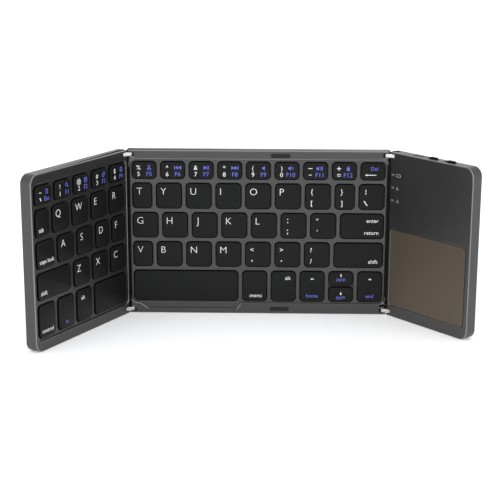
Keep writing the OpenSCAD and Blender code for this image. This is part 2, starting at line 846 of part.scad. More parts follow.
// steel shell with the contact tongue inside it
module charging_socket() {
    tongue_l = 3.6;
    tongue_w = 4;
    tongue_t = 0.6;
    back_t = 0.6;
    corner = 0.6;
    rear = depth - socket_face;
    color(steel) right_wing() {
        difference() {
            along_y(rear - socket_l, socket_l) translate([rear_mid + socket_x, -mid_depth])
                round_rect(-socket_w / 2, -socket_h / 2, socket_w, socket_h, corner);
            along_y(rear - socket_l + back_t, socket_l) translate([rear_mid + socket_x, -mid_depth])
                round_rect(socket_wall - socket_w / 2, socket_wall - socket_h / 2,
                    socket_w - 2 * socket_wall, socket_h - 2 * socket_wall,
                    corner - socket_wall);
        }
        translate([rear_mid + socket_x - tongue_w / 2, rear - socket_l + back_t - eps,
            -mid_depth - tongue_t / 2]) cube([tongue_w, tongue_l, tongue_t]);
    }
}

// clear light pipes from the face down to the lamps on the board
module indicator_lights() {
    lamp_room = 0.6;
    color([0.6, 0.65, 0.85]) right_wing() layer(0, board_depth - lamp_room) light_places();
}

module switch_knob(x) {
    rear = depth - wall - flange_gap;
    color(rubber_black) right_wing() {
        translate([x - knob_w / 2, rear - flange_t, -mid_depth - knob_h / 2])
            cube([knob_w, depth + knob_out - rear + flange_t, knob_h]);
        translate([x - knob_w / 2 - flange_side, rear - flange_t, -mid_depth - flange_h / 2])
            cube([knob_w + 2 * flange_side, flange_t, flange_h]);
    }
}

module power_switch() {
    switch_knob(rear_mid + power_x);
}

module mode_switch() {
    switch_knob(rear_mid + mode_x);
}

// ---- folds, drawn flat with the centre panel's edge at x = 0 and the wing beyond fold_gap

module fold_links() {
    color([0.85, 0.85, 0.85]) front_and_rear() difference() {
        along_y(link_inset, link_t) {
            for (x = [-pin_inset, fold_gap + pin_inset]) translate([x, -pin_inset])
                circle(link_r);
            translate([-pin_inset, -pin_inset - link_r]) square([link_pitch, 2 * link_r]);
        }
        for (x = [-pin_inset, fold_gap + pin_inset])
            translate([x, 0, -pin_inset]) rotate([-90, 0, 0]) cylinder(d = pin_d, h = through);
    }
}

module fold_pins() {
    color(steel) front_and_rear() for (x = [-pin_inset, fold_gap + pin_inset])
        translate([x, pin_cover + pin_play, -pin_inset]) rotate([-90, 0, 0])
            cylinder(d = pin_d, h = pin_l);
}

// radius that the flat cable bends to between its two slots
function flex_bend_r(half) =
    let (reach = pin_inset * cos(half) - (flex_depth - pin_inset) * sin(half))
    (link_pitch - 2 * reach) / (2 * sin(half));

// section of the flat cable's arc between the panels, that far clear of them
module flex_arc(fold, clearance) {
    half = fold / 2;
    bend_r = flex_bend_r(half);
    cut = asin(clearance / bend_r);
    edge = 2 * bend_r;
    middle = edge / cos(half - cut);
    translate([0, bend_r - flex_depth]) intersection() {
        difference() {
            circle(bend_r + flex_t / 2);
            circle(bend_r - flex_t / 2);
        }
        polygon([[0, 0], [edge * sin(cut), -edge * cos(cut)],
            [middle * sin(half), -middle * cos(half)],
            [edge * sin(fold - cut), -edge * cos(fold - cut)]]);
    }
}

// section of its straight tails, one in each panel
module flex_tails(fold) {
    bend_r = flex_bend_r(fold / 2);
    translate([-flex_tail, -flex_depth - flex_t / 2]) square([flex_tail, flex_t]);
    translate([0, bend_r - flex_depth]) rotate(fold)
        translate([0, -bend_r - flex_t / 2]) square([flex_tail, flex_t]);
}

module fold_flex(fold) {
    color([0.1, 0.1, 0.1]) {
        along_y((depth - flex_w) / 2 - flex_offset, flex_w) {
            flex_arc(fold, 0);
            flex_tails(fold);
        }
        along_y(flex_end, depth - 2 * flex_end) flex_arc(fold, flex_play);
    }
}

module left_fold_links() {
    at_left_fold() fold_links();
}

module left_fold_pins() {
    at_left_fold() fold_pins();
}

module left_fold_flex() {
    stand() translate([-centre_half, 0, 0]) mirror([1, 0, 0]) fold_flex(left_fold);
}

module right_fold_links() {
    at_right_fold() fold_links();
}

module right_fold_pins() {
    at_right_fold() fold_pins();
}

module right_fold_flex() {
    stand() translate([centre_half, 0, 0]) fold_flex(right_fold);
}

// ---- keys

module left_number_and_modifier_keys() {
    left_wing() keys(left_holes, left_numbers_and_modifiers);
}

module centre_number_keys() {
    stand() keys(centre_holes, centre_numbers);
}

module punctuation_and_command_keys() {
    stand() keys(centre_holes, punctuation_and_commands);
}

centre_top_frame();
centre_bottom_cover();
centre_hinge_screws();
centre_feet_and_bumpers();
centre_key_base();
centre_switch_membrane();
left_top_frame();
left_bottom_cover();
left_hinge_screws();
left_feet();
left_key_base();
left_switch_membrane();
right_top_frame();
right_bottom_cover();
right_hinge_screws();
right_feet();
touchpad();
main_circuit_board();
battery();
charging_socket();
indicator_lights();
power_switch();
mode_switch();
left_fold_links();
left_fold_pins();
left_fold_flex();
right_fold_links();
right_fold_pins();
right_fold_flex();
for (name = centre_single_keys)
    stand() keys(centre_holes, [name]);
for (name = left_single_keys)
    left_wing() keys(left_holes, [name]);
left_number_and_modifier_keys();
centre_number_keys();
punctuation_and_command_keys();
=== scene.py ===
# Folding travel keyboard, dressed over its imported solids.
# Sizes are in millimetres. Each panel's pieces are drawn lying down, as the solids are: x across,
# y up from the front edge, z = 0 on the key face; the panel's place then stands it up in metres.

import bisect
import math

import bmesh
import bpy
from mathutils import Matrix, Vector


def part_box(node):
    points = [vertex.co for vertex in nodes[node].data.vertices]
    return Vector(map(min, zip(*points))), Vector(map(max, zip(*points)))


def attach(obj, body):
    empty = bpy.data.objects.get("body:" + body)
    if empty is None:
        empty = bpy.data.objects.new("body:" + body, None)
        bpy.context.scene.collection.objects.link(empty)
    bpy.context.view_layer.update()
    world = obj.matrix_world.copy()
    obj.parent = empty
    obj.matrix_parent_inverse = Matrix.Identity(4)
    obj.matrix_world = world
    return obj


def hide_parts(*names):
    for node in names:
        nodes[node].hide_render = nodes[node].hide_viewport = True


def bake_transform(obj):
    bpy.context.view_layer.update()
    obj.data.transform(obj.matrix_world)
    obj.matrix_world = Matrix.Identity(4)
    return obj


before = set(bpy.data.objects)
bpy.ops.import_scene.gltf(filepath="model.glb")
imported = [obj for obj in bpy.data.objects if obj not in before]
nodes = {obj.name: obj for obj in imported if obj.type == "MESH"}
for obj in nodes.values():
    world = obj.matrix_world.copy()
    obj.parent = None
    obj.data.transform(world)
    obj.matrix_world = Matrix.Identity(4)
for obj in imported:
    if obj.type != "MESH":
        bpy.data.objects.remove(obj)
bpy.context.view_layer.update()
print("frame loaded,", len(nodes), "nodes")

# ---- camera, light and floor

cameraView = {
    "place": (8.3, -753.6, 238.3),
    "yaw": -0.99,  # degrees, as are the next two
    "pitch": 14.88,
    "roll": 0.20,
    "lens": 95.285,
    "sensor": 36,
}
studio = {
    "sky": (0.97, 0.985, 1.0, 1),
    "skyStrength": 1.06,
    "floorGlow": 0.24,
    "floorHalf": (5000, 6000),
    "floorMiddle": 1500,
    # name: place, aim, size, watts, colour
    "lamps": {
        "overheadSoftbox": ((0, -250, 1500), (0, 0, 0), 1300, 2, (1, 1, 1)),
        "leftSoftbox": ((-900, -900, 350), (-80, 0, 50), 600, 2.5, (1, 1, 1)),
        "rightSoftbox": ((1300, -700, 350), (60, 0, 50), 500, 2, (1, 0.99, 0.97)),
    },
}
mm = 0.001


def makeCamera():
    yaw, pitch, roll = (math.radians(cameraView[turn]) for turn in ("yaw", "pitch", "roll"))
    upright = Matrix(((1, 0, 0), (0, 0, -1), (0, 1, 0)))
    turned = (Matrix.Rotation(roll, 3, "Z") @ Matrix.Rotation(pitch, 3, "X") @ upright
              @ Matrix.Rotation(yaw, 3, "Z"))
    camera = bpy.data.objects.new("camera", bpy.data.cameras.new("camera"))
    camera.data.lens = cameraView["lens"]
    camera.data.sensor_width = cameraView["sensor"]
    axes = Matrix((turned[0], -turned[1], -turned[2])).transposed()
    camera.matrix_world = Matrix.Translation(Vector(cameraView["place"]) * mm) @ axes.to_4x4()
    bpy.context.scene.collection.objects.link(camera)
    bpy.context.scene.camera = camera


def makeLamps():
    world = bpy.data.worlds.new("studioSky")
    world.use_nodes = True
    sky = world.node_tree.nodes["Background"]
    sky.inputs["Color"].default_value = studio["sky"]
    sky.inputs["Strength"].default_value = studio["skyStrength"]
    bpy.context.scene.world = world
    for name, (place, aim, size, watts, colour) in studio["lamps"].items():
        lamp = bpy.data.objects.new(name, bpy.data.lights.new(name, "AREA"))
        lamp.data.shape = "DISK"
        lamp.data.size = size * mm
        lamp.data.energy = watts
        lamp.data.color = colour
        lamp.location = Vector(place) * mm
        aimed = (Vector(place) - Vector(aim)).to_track_quat("Z", "Y")
        lamp.rotation_euler = aimed.to_euler()
        bpy.context.scene.collection.objects.link(lamp)


makeCamera()
makeLamps()
bpy.context.scene.view_settings.view_transform = "Standard"
print("camera and lamps made")

# ---- writing node trees


class Wire:
    # One socket of a tree. A sum on it adds a Math node; any other node comes from add().
    def __init__(self, tree, socket=None):
        self.tree = tree
        self.socket = socket

    def add(self, kind, settings=None, values=None, out=0):
        made = self.tree.nodes.new(kind)
        for name, value in (settings or {}).items():
            setattr(made, name, value)
        for key, value in (values or {}).items():
            for one in value if isinstance(value, list) else [value]:
                if isinstance(one, Wire):
                    self.tree.links.new(one.socket, made.inputs[key])
                else:
                    made.inputs[key].default_value = one
        return Wire(self.tree, made.outputs[out])

    def other(self, name):
        return Wire(self.tree, self.socket.node.outputs[name])

    def math(self, operation, *values):
        return self.add("ShaderNodeMath", {"operation": operation}, dict(enumerate(values)))

    def vector(self, operation, *values, out=0):
        return self.add("ShaderNodeVectorMath", {"operation": operation},
                        dict(enumerate(values)), out)

    def xyz(self, parts):
        return self.add("ShaderNodeCombineXYZ", None, parts)

    def __add__(self, value):
        return self.math("ADD", self, value)

    def __sub__(self, value):
        return self.math("SUBTRACT", self, value)

    def __rsub__(self, value):
        return self.math("SUBTRACT", value, self)

    def __mul__(self, value):
        return self.math("MULTIPLY", self, value)

    def __truediv__(self, value):
        return self.math("DIVIDE", self, value)

    __radd__ = __add__
    __rmul__ = __mul__


# ---- finishes: colours are linear, grain sizes are in millimetres

paints = {
    "framePaint": {
        "colours": ((0.070, 0.070, 0.068), (0.089, 0.089, 0.087)), "grain": 0.5, "cloud": 45,
        "metallic": 0.85, "rough": (0.30, 0.40), "bump": 0.012, "specular": 0.3,
    },
    # painted highlight: a lighter paint on the shells' bright bevels, standing in for light caught
    # on those edges
    "edgePaint": {
        "colours": ((0.19, 0.19, 0.185), (0.25, 0.25, 0.245)), "grain": 0.3, "cloud": 12,
        "metallic": 0.9, "rough": (0.24, 0.34), "bump": 0.008, "specular": 0.4,
    },
    "coverPaint": {
        "colours": ((0.050, 0.050, 0.050), (0.066, 0.066, 0.065)), "grain": 0.6, "cloud": 40,
        "metallic": 0.4, "rough": (0.50, 0.62), "bump": 0.015, "specular": 0.35,
    },
    "keyPlastic": {
        "colours": ((0.0060, 0.0062, 0.0062), (0.0086, 0.0088, 0.0088)), "grain": 0.35,
        "cloud": 22, "rough": (0.36, 0.46), "bump": 0.010,
        "specular": 0.15,
    },
    # painted shade: a darker plastic on the keycaps' side walls, standing in for the shade in the
    # gaps round the keys
    "skirtPlastic": {
        "colours": ((0.0020, 0.0020, 0.0020), (0.0034, 0.0034, 0.0034)), "grain": 0.35,
        "cloud": 22, "rough": (0.66, 0.78), "bump": 0.010,
        "specular": 0.06,
    },
    "legendWhite": {
        "colours": ((0.78, 0.78, 0.77), (0.90, 0.90, 0.89)), "grain": 0.5, "cloud": 9,
        "rough": (0.50, 0.60), "bump": 0.004,
    },
    "legendBlue": {
        "colours": ((0.105, 0.130, 0.560), (0.130, 0.160, 0.640)), "grain": 0.5, "cloud": 9,
        "rough": (0.50, 0.60), "bump": 0.004,
    },
    "deckPrint": {
        "colours": ((0.28, 0.28, 0.28), (0.36, 0.36, 0.36)), "grain": 0.5, "cloud": 9,
        "rough": (0.50, 0.60), "bump": 0.004,
    },
    "padGlass": {
        "colours": ((0.082, 0.064, 0.044), (0.098, 0.077, 0.055)), "grain": 0.3, "cloud": 70,
        "metallic": 0.35, "rough": (0.34, 0.42), "bump": 0.003, "specular": 0.4,
    },
    "linkPlate": {
        "colours": ((0.54, 0.53, 0.51), (0.66, 0.65, 0.63)), "grain": 0.25, "cloud": 5,
        "metallic": 0.75, "rough": (0.22, 0.34), "bump": 0.006,
    },
    "rubberBlack": {
        "colours": ((0.010, 0.010, 0.010), (0.018, 0.018, 0.018)), "grain": 0.3, "cloud": 8,
        "rough": (0.70, 0.85), "bump": 0.02, "specular": 0.3,
    },
    "knobPlastic": {
        "colours": ((0.004, 0.004, 0.004), (0.007, 0.007, 0.007)), "grain": 0.25, "cloud": 6,
        "rough": (0.55, 0.68), "bump": 0.01, "specular": 0.2,
    },
    "membraneRubber": {
        "colours": ((0.16, 0.16, 0.16), (0.22, 0.22, 0.215)), "grain": 0.4, "cloud": 14,
        "rough": (0.60, 0.75), "bump": 0.01,
    },
}

grainShare = 0.6  # of a paint's colour that follows the grain; the rest follows the clouds
bumpScale = 10


def newFinish(name):
    material = bpy.data.materials.new(name)
    material.use_nodes = True
    return material, Wire(material.node_tree), material.node_tree.nodes["Principled BSDF"]


def lead(shader, **wires):
    for name, wire in wires.items():
        wire.tree.links.new(wire.socket, shader.inputs[name.replace("_", " ")])


def spots(start, size, detail=2.0, stretch=None):
    # soft noise whose spots are about that many millimetres across
    place = start.add("ShaderNodeTexCoord").other("Object")
    if stretch:
        place = place.add("ShaderNodeMapping", None, {"Vector": place, "Scale": stretch})
    return start.add("ShaderNodeTexNoise", None,
                     {"Vector": place, "Scale": 1 / (size * mm), "Detail": detail}, "Fac")


def blended(low, high, share):
    return share.add("ShaderNodeMix", {"data_type": "RGBA"},
                     {0: share, 6: (*low, 1), 7: (*high, 1)}, 2)


def raised(height, strength, depth=0.1):
    return height.add("ShaderNodeBump", None,
                      {"Height": height, "Strength": strength, "Distance": depth * mm})


def spread(share, limits):
    low, high = limits
    return share * (high - low) + low


def makePaint(name):
    paint = paints[name]
    material, start, shader = newFinish(name)
    grain = spots(start, paint["grain"])
    cloud = spots(start, paint["cloud"], 3.0)
    share = grain * grainShare + cloud * (1 - grainShare)
    shader.inputs["Metallic"].default_value = paint.get("metallic", 0)
    if "specular" in paint:
        shader.inputs["Specular IOR Level"].default_value = paint["specular"]
    lead(shader, Base_Color=blended(*paint["colours"], share),
         Roughness=spread(cloud, paint["rough"]), Normal=raised(grain, paint["bump"] * bumpScale))
    return material


# drawn or turned steel: long fine scratches along one way
steels = {
    "turnedSteel": {"colour": (0.62, 0.62, 0.61), "rough": 0.28, "stretch": (1, 1, 6)},
    "socketSteel": {"colour": (0.55, 0.55, 0.56), "rough": 0.25, "stretch": (8, 1, 1)},
    "basePlate": {"colour": (0.60, 0.60, 0.61), "rough": 0.35, "stretch": (1, 1, 12)},
    "batteryFoil": {"colour": (0.66, 0.66, 0.68), "rough": 0.30, "stretch": (3, 3, 1)},
}
scratches = {"size": 0.25, "cloud": 6, "darker": 0.8, "bump": 0.15, "cloudRough": 0.12,
             "scratchRough": 0.1}


def makeSteel(name):
    steel = steels[name]
    material, start, shader = newFinish(name)
    scratch = spots(start, scratches["size"], 2.0, steel["stretch"])
    cloud = spots(start, scratches["cloud"])
    shader.inputs["Metallic"].default_value = 1.0
    darker = tuple(part * scratches["darker"] for part in steel["colour"])
    lead(shader, Base_Color=blended(darker, steel["colour"], scratch),
         Roughness=cloud * scratches["cloudRough"] + scratch * scratches["scratchRough"]
         + steel["rough"],
         Normal=raised(scratch, scratches["bump"]))
    return material


boardMask = {"solder": (0.010, 0.060, 0.022), "track": (0.020, 0.125, 0.045),
             "pitch": 2.2, "level": 0.36, "rough": (0.3, 0.4), "bump": 0.3, "height": 0.04}
flexFilm = {"film": (0.006, 0.006, 0.006), "line": (0.022, 0.020, 0.018), "pitch": 1.2,
            "rough": (0.4, 0.6), "bump": 0.3, "height": 0.05}
lightPipe = {"colours": ((0.12, 0.13, 0.16), (0.17, 0.18, 0.22)), "cloud": 1.5,
             "rough": (0.22, 0.32)}
floorPaper = {"colours": ((0.93, 0.93, 0.93), (0.95, 0.95, 0.95)), "cloud": 400,
              "rough": (0.8, 0.9), "specular": 0.1}


def makeBoardMask():
    # green solder mask over tracks, with a little copper at the tracks' edges
    material, start, shader = newFinish("boardMask")
    place = start.add("ShaderNodeTexCoord").other("Object")
    tracks = start.add("ShaderNodeTexVoronoi", {"distance": "CHEBYCHEV"},
                       {"Vector": place, "Scale": 1 / (boardMask["pitch"] * mm)}, "Distance")
    track = tracks.math("GREATER_THAN", tracks, boardMask["level"])
    lead(shader, Base_Color=blended(boardMask["solder"], boardMask["track"], track),
         Roughness=spread(track, boardMask["rough"]),
         Normal=raised(track, boardMask["bump"], boardMask["height"]))
    return material


def makeFlexFilm():
    # black film with fine conductors along it
    material, start, shader = newFinish("flexFilm")
    height = start.add("ShaderNodeSeparateXYZ", None,
                       {0: start.add("ShaderNodeTexCoord").other("Object")}, "Z")
    turn = height * (math.tau / (flexFilm["pitch"] * mm))
    share = turn.math("SINE", turn) * 0.5 + 0.5
    lead(shader, Base_Color=blended(flexFilm["film"], flexFilm["line"], share),
         Roughness=spread(share, flexFilm["rough"]),
         Normal=raised(share, flexFilm["bump"], flexFilm["height"]))
    return material


def makeLightPipe():
    material, start, shader = newFinish("lightPipe")
    cloud = spots(start, lightPipe["cloud"])
    lead(shader, Base_Color=blended(*lightPipe["colours"], cloud),
         Roughness=spread(cloud, lightPipe["rough"]))
    return material


def makeFloorPaper():
    material, start, shader = newFinish("floorPaper")
    cloud = spots(start, floorPaper["cloud"], 3.0)
    shader.inputs["Specular IOR Level"].default_value = floorPaper["specular"]
    shader.inputs["Emission Color"].default_value = (1, 1, 1, 1)
    shader.inputs["Emission Strength"].default_value = studio["floorGlow"]
    lead(shader, Base_Color=blended(*floorPaper["colours"], cloud),
         Roughness=spread(cloud, floorPaper["rough"]))
    return material


finishes = {name: makePaint(name) for name in paints}
finishes.update({name: makeSteel(name) for name in steels})
finishes["boardMask"] = makeBoardMask()
finishes["flexFilm"] = makeFlexFilm()
finishes["lightPipe"] = makeLightPipe()
finishes["floorPaper"] = makeFloorPaper()

# finish of each solid that stays as it is, by the end of its node's name
solidFinishes = {
    "top_frame": "framePaint", "bottom_cover": "coverPaint", "hinge_screws": "turnedSteel",
    "feet": "rubberBlack", "feet_and_bumpers": "rubberBlack", "key_base": "basePlate",
    "switch_membrane": "membraneRubber", "touchpad": "padGlass", "circuit_board": "boardMask",
    "battery": "batteryFoil", "charging_socket": "socketSteel", "lights": "lightPipe",
    "power_switch": "knobPlastic", "mode_switch": "knobPlastic", "fold_links": "linkPlate",
    "fold_pins": "turnedSteel", "fold_flex": "flexFilm",
}
for name, solid in nodes.items():
    found = [finish for end, finish in solidFinishes.items() if name.endswith(end)]
    solid.data.materials.clear()
    solid.data.materials.append(finishes[found[0] if found else "keyPlastic"])
print("finishes made,", len(finishes))

# ---- the panels and their places

panels = {
    "depth": 98,
    "thickness": 7.2,
    "centreHalf": 75.85,
    "leftWidth": 87.6,
    "rightWidth": 63.5,
    "cornerRadius": 5.5,
    "leftFold": 60.9,  # degrees from flat, as is the next
    "rightFold": 49.8,
    "foldGap": 0.8,
    "pinInset": 1.7,
    "wellDepth": 1,
}
standing = (Matrix.Diagonal((mm, mm, mm, 1)) @ Matrix.Translation((0, -panels["thickness"] / 2, 0))
            @ Matrix.Rotation(math.radians(90), 4, "X"))


def turnAbout(x, z, degrees):
    return (Matrix.Translation((x, 0, z)) @ Matrix.Rotation(math.radians(degrees), 4, "Y")
            @ Matrix.Translation((-x, 0, -z)))


def foldPlace(side, fold):
    # half way round a fold; side is -1 for the left one
    pin = panels["pinInset"]
    return (standing @ Matrix.Translation((side * panels["centreHalf"], 0, 0))
            @ turnAbout(-side * pin, -pin, -side * fold / 2))


def wingPlace(side, fold):
    pin, gap = panels["pinInset"], panels["foldGap"]
    return (foldPlace(side, fold) @ turnAbout(side * (gap + pin), -pin, -side * fold / 2)
            @ Matrix.Translation((side * gap, 0, 0)))


# each panel's place, side, outline from its lowest to highest x, fold edges, and body
layout = {
    "centre": {
        "place": standing, "low": -panels["centreHalf"], "high": panels["centreHalf"],
        "folds": (-panels["centreHalf"], panels["centreHalf"]), "body": "centre_panel",
    },
    "left": {
        "place": wingPlace(-1, panels["leftFold"]), "low": -panels["leftWidth"], "high": 0,
        "folds": (0,), "body": "left_wing",
    },
    "right": {
        "place": wingPlace(1, panels["rightFold"]), "low": 0, "high": panels["rightWidth"],
        "folds": (0,), "body": "right_wing",
    },
}
scene = bpy.context.scene


# how close points are merged, how flat (in degrees) faces are joined, and what is a sliver
cleaning = {"merge": 0.003, "flat": 0.6, "sliver": 0.0005}
near = 0.06  # an edge this close to a face's plane lies on it


def linked(name, mesh):
    made = bpy.data.objects.new(name, mesh)
    scene.collection.objects.link(made)
    return made


def meshOf(work, name):
    mesh = bpy.data.meshes.new(name)
    work.to_mesh(mesh)
    work.free()
    return mesh


def solidMesh(node, place):
    # a merged copy of a solid, lying down, with its flat faces joined
    work = bmesh.new()
    work.from_mesh(nodes[node].data)
    bmesh.ops.transform(work, matrix=place.inverted(), verts=work.verts)
    bmesh.ops.remove_doubles(work, verts=work.verts, dist=cleaning["merge"])
    bmesh.ops.dissolve_limit(work, angle_limit=math.radians(cleaning["flat"]), verts=work.verts,
                             edges=work.edges)
    bmesh.ops.dissolve_degenerate(work, dist=cleaning["sliver"], edges=work.edges)
    return work


def bakedMesh(piece):
    graph = bpy.context.evaluated_depsgraph_get()
    graph.update()
    return bpy.data.meshes.new_from_object(piece.evaluated_get(graph), depsgraph=graph)


def evaluated(piece):
    # the piece's mesh with its modifiers in it, which are then gone
    mesh = bakedMesh(piece)
    piece.modifiers.clear()
    piece.data = mesh
    return mesh


def softened(node, place, edgeWidth, finish, segments=2, sharp=35, edgeFinish=None, isEdge=None):
    # bevels each edge of a solid by the width that edgeWidth gives it; the bevels that isEdge
    # picks by their middle take the edge finish
    work = solidMesh(node, place)
    weights = work.edges.layers.float.new("bevel_weight_edge")
    widest = 0
    widths = {}
    for edge in work.edges:
        angle = edge.calc_face_angle(0)
        if angle > math.radians(sharp):
            edge.smooth = False
            if edge.is_convex:
                middle = (edge.verts[0].co + edge.verts[1].co) / 2
                widths[edge] = edgeWidth(middle, [face.normal for face in edge.link_faces])
                widest = max(widest, widths[edge])
    for edge, width in widths.items():
        if width > 0:
            edge[weights] = width / widest
            edge.smooth = True
    for face in work.faces:
        face.smooth = True
        face.material_index = 0
    piece = linked(node + "_dressed", meshOf(work, node + "_dressed"))
    for used in (finish, edgeFinish):
        if used:
            piece.data.materials.append(finishes[used])
    if widest > 0:
        bevel = piece.modifiers.new("bevel", "BEVEL")
        bevel.limit_method = "WEIGHT"
        bevel.width = widest
        bevel.segments = segments
        bevel.use_clamp_overlap = False
        bevel.loop_slide = True
        bevel.material = 1 if edgeFinish else -1
    shading = piece.modifiers.new("shading", "WEIGHTED_NORMAL")
    shading.keep_sharp = True
    evaluated(piece)
    if edgeFinish:
        for face in piece.data.polygons:
            if face.material_index and not isEdge(face.center):
                face.material_index = 0
    piece.data.transform(place)
    return piece


def placed(piece, body, slot, *replaced):
    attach(piece, body)
    if replaced:
        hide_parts(*replaced)
    return piece


# ---- shells and back covers

shellEdges = {
    "rim": 0.5, "back": 0.35, "small": 0.12, "well": 0.6, "hole": 0.2,
    "face": 0.1,  # depth below the key face that still counts as it
    "flat": 0.9,  # a face whose normal rises more than this is level
    "wellEnds": 3, "wellFold": 0.5,  # how near the panel's edges a well's edge may lie
    "pad": 0.25, "padCorners": ((2.2, 6.7), (60.9, 53.3)),
    "bumper": (12.8, 6, 4.3),  # middle in x, half length, and reach from the panel's ends
}
coverEdgeWidth = 0.18


def rimDistance(panel, x, y):
    side = layout[panel]
    across = min(x - side["low"], side["high"] - x)
    along = min(y, panels["depth"] - y)
    radius = panels["cornerRadius"]
    outer = {"centre": None, "left": x - side["low"], "right": side["high"] - x}[panel]
    if outer is not None and outer < radius and along < radius:
        return radius - math.hypot(radius - outer, radius - along)
    return min(across, along)


def onPad(x, y):
    (lowX, lowY), (highX, highY) = shellEdges["padCorners"]
    return lowX < x < highX and lowY < y < highY


def onBumper(panel, x, y):
    middle, half, reach = shellEdges["bumper"]
    return panel == "centre" and abs(x - middle) < half and min(y, panels["depth"] - y) < reach


def onWell(panel, x, y):
    atFold = min(abs(x - fold) for fold in layout[panel]["folds"])
    ends = shellEdges["wellEnds"]
    inside = ends < y < panels["depth"] - ends and atFold >= shellEdges["wellFold"]
    return panel != "right" and inside and not onBumper(panel, x, y)


def shellEdge(panel):
    side = layout[panel]

    def width(middle, normals):
        x, y, z = middle
        atFold = min(abs(x - fold) for fold in side["folds"])
        onEnd = y < near or y > panels["depth"] - near
        onRim = rimDistance(panel, x, y) < near
        isBack = z < -panels["thickness"] + near
        if onEnd and not isBack and z < -panels["pinInset"] - near:
            return shellEdges["small"]
        if onRim and isBack:
            return shellEdges["back"]
        if onRim and atFold < near:
            return shellEdges["small"]
        if onRim:
            return shellEdges["rim"]
        if z > -shellEdges["face"]:
            if panel == "right":
                return shellEdges["pad" if onPad(x, y) else "small"]
            return shellEdges["well" if onWell(panel, x, y) else "small"]
        isFlat = any(n.z > shellEdges["flat"] for n in normals)
        isWeb = abs(z + panels["wellDepth"]) < near and isFlat
        return shellEdges["hole"] if isWeb and panel != "right" else 0

    return width


def coverEdge(middle, normals):
    return coverEdgeWidth if middle.z < -panels["thickness"] + near else 0


def shellRim(panel):
    # the bevels that take the painted highlight, a lighter paint standing in for light caught on
    # the edges: the panel's rim, the key well's edge and the pad's edge
    def isRim(middle):
        x, y, z = middle
        onRim = rimDistance(panel, x, y) < shellEdges["rim"] or panel == "right" and onPad(x, y)
        return (onRim or onWell(panel, x, y)) and z > -shellEdges["rim"]

    return isRim


def makeShells():
    for panel, side in layout.items():
        # the rims, the key wells' edges and the pad opening's edge take the painted highlight
        shell = softened(panel + "_top_frame", side["place"], shellEdge(panel), "framePaint",
                         segments=3, edgeFinish="edgePaint", isEdge=shellRim(panel))
        placed(shell, side["body"], "frame_shell", panel + "_top_frame")
        cover = softened(panel + "_bottom_cover", side["place"], coverEdge, "coverPaint")
        placed(cover, side["body"], "back_cover", panel + "_bottom_cover")
        print(panel, "shell and cover made", len(shell.data.polygons))


makeShells()

# ---- keycaps, made by one tree of Geometry Nodes

keycap = {
    "cornerRadius": 2.25,
    "cornerPoints": 7,
    "height": 2.2,
    "draft": 0.08,
    "edge": 0.38,
    "edgeSteps": 3,
    "skirtWall": 1.0,
    "roof": 0.8,
    "plungerRadius": 1.5,
    "plungerSides": 12,
    "plungerShare": 0.6,  # of the cap's height
    "top": -0.1,  # below the panel's face
    "steep": 0.6,  # a face whose normal rises less than this is part of the skirt
    "narrowest": 4.4,  # anything narrower on a key is its homing bar
    "highest": 1,  # over the panel's face
}


socketKinds = {"Material": "Material", "Geometry In": "Geometry", "Count": "Int"}
weld = 0.001


def settingName(label):
    # the settings' name of a tree's input, such as cornerRadius for Corner Radius
    words = label.replace(" ", "")
    return words[0].lower() + words[1:]


def newTree(name, labels, settings):
    # a tree with these inputs, whose values in the settings are its defaults
    tree = bpy.data.node_groups.new(name, "GeometryNodeTree")
    tree.interface.new_socket(name="Geometry", in_out="OUTPUT", socket_type="NodeSocketGeometry")
    for label in labels:
        kind = "NodeSocket" + socketKinds.get(label, "Float")
        made = tree.interface.new_socket(name=label, in_out="INPUT", socket_type=kind)
        if settingName(label) in settings:
            made.default_value = settings[settingName(label)]
    given = Wire(tree, tree.nodes.new("NodeGroupInput").outputs[0])
    return tree, given


def closeTree(tree, geometry, material):
    real = geometry.add("GeometryNodeRealizeInstances", None, {0: geometry})
    painted = real.add("GeometryNodeSetMaterial", None, {0: real, "Material": material})
    end = tree.nodes.new("NodeGroupOutput")
    tree.links.new(painted.socket, end.inputs[0])


def grown(tree, name, values, base=None):
    # a mesh from a tree, with these values in its inputs
    piece = linked(name, base or bpy.data.meshes.new(name))
    modifier = piece.modifiers.new("tree", "NODES")
    modifier.node_group = tree
    for item in tree.interface.items_tree:
        if item.in_out == "INPUT" and settingName(item.name) in values:
            modifier[item.identifier] = values[settingName(item.name)]
    mesh = evaluated(piece)
    bpy.data.objects.remove(piece)
    return mesh


def stepOut(shape, selected, inset, lift):
    # one more ring on the selected face, moved in along the outline's own direction and up
    ring = shape.add("GeometryNodeExtrudeMesh", {"mode": "FACES"},
                     {"Mesh": shape, "Selection": selected, "Offset Scale": 0.0,
                      "Individual": False})
    top = ring.other("Top")
    outward = shape.add("GeometryNodeInputNamedAttribute", {"data_type": "FLOAT_VECTOR"},
                        {"Name": "outward"})
    back = outward.vector("SCALE", outward)
    back.socket.node.inputs["Scale"].default_value = 0
    if isinstance(inset, Wire):
        shape.tree.links.new((inset * -1).socket, back.socket.node.inputs["Scale"])
    else:
        back.socket.node.inputs["Scale"].default_value = -inset
    up = shape.xyz({"Z": lift})
    moved = ring.add("GeometryNodeSetPosition", None,
                     {"Geometry": ring, "Selection": top, "Offset": back.vector("ADD", back, up)})
    return moved, top


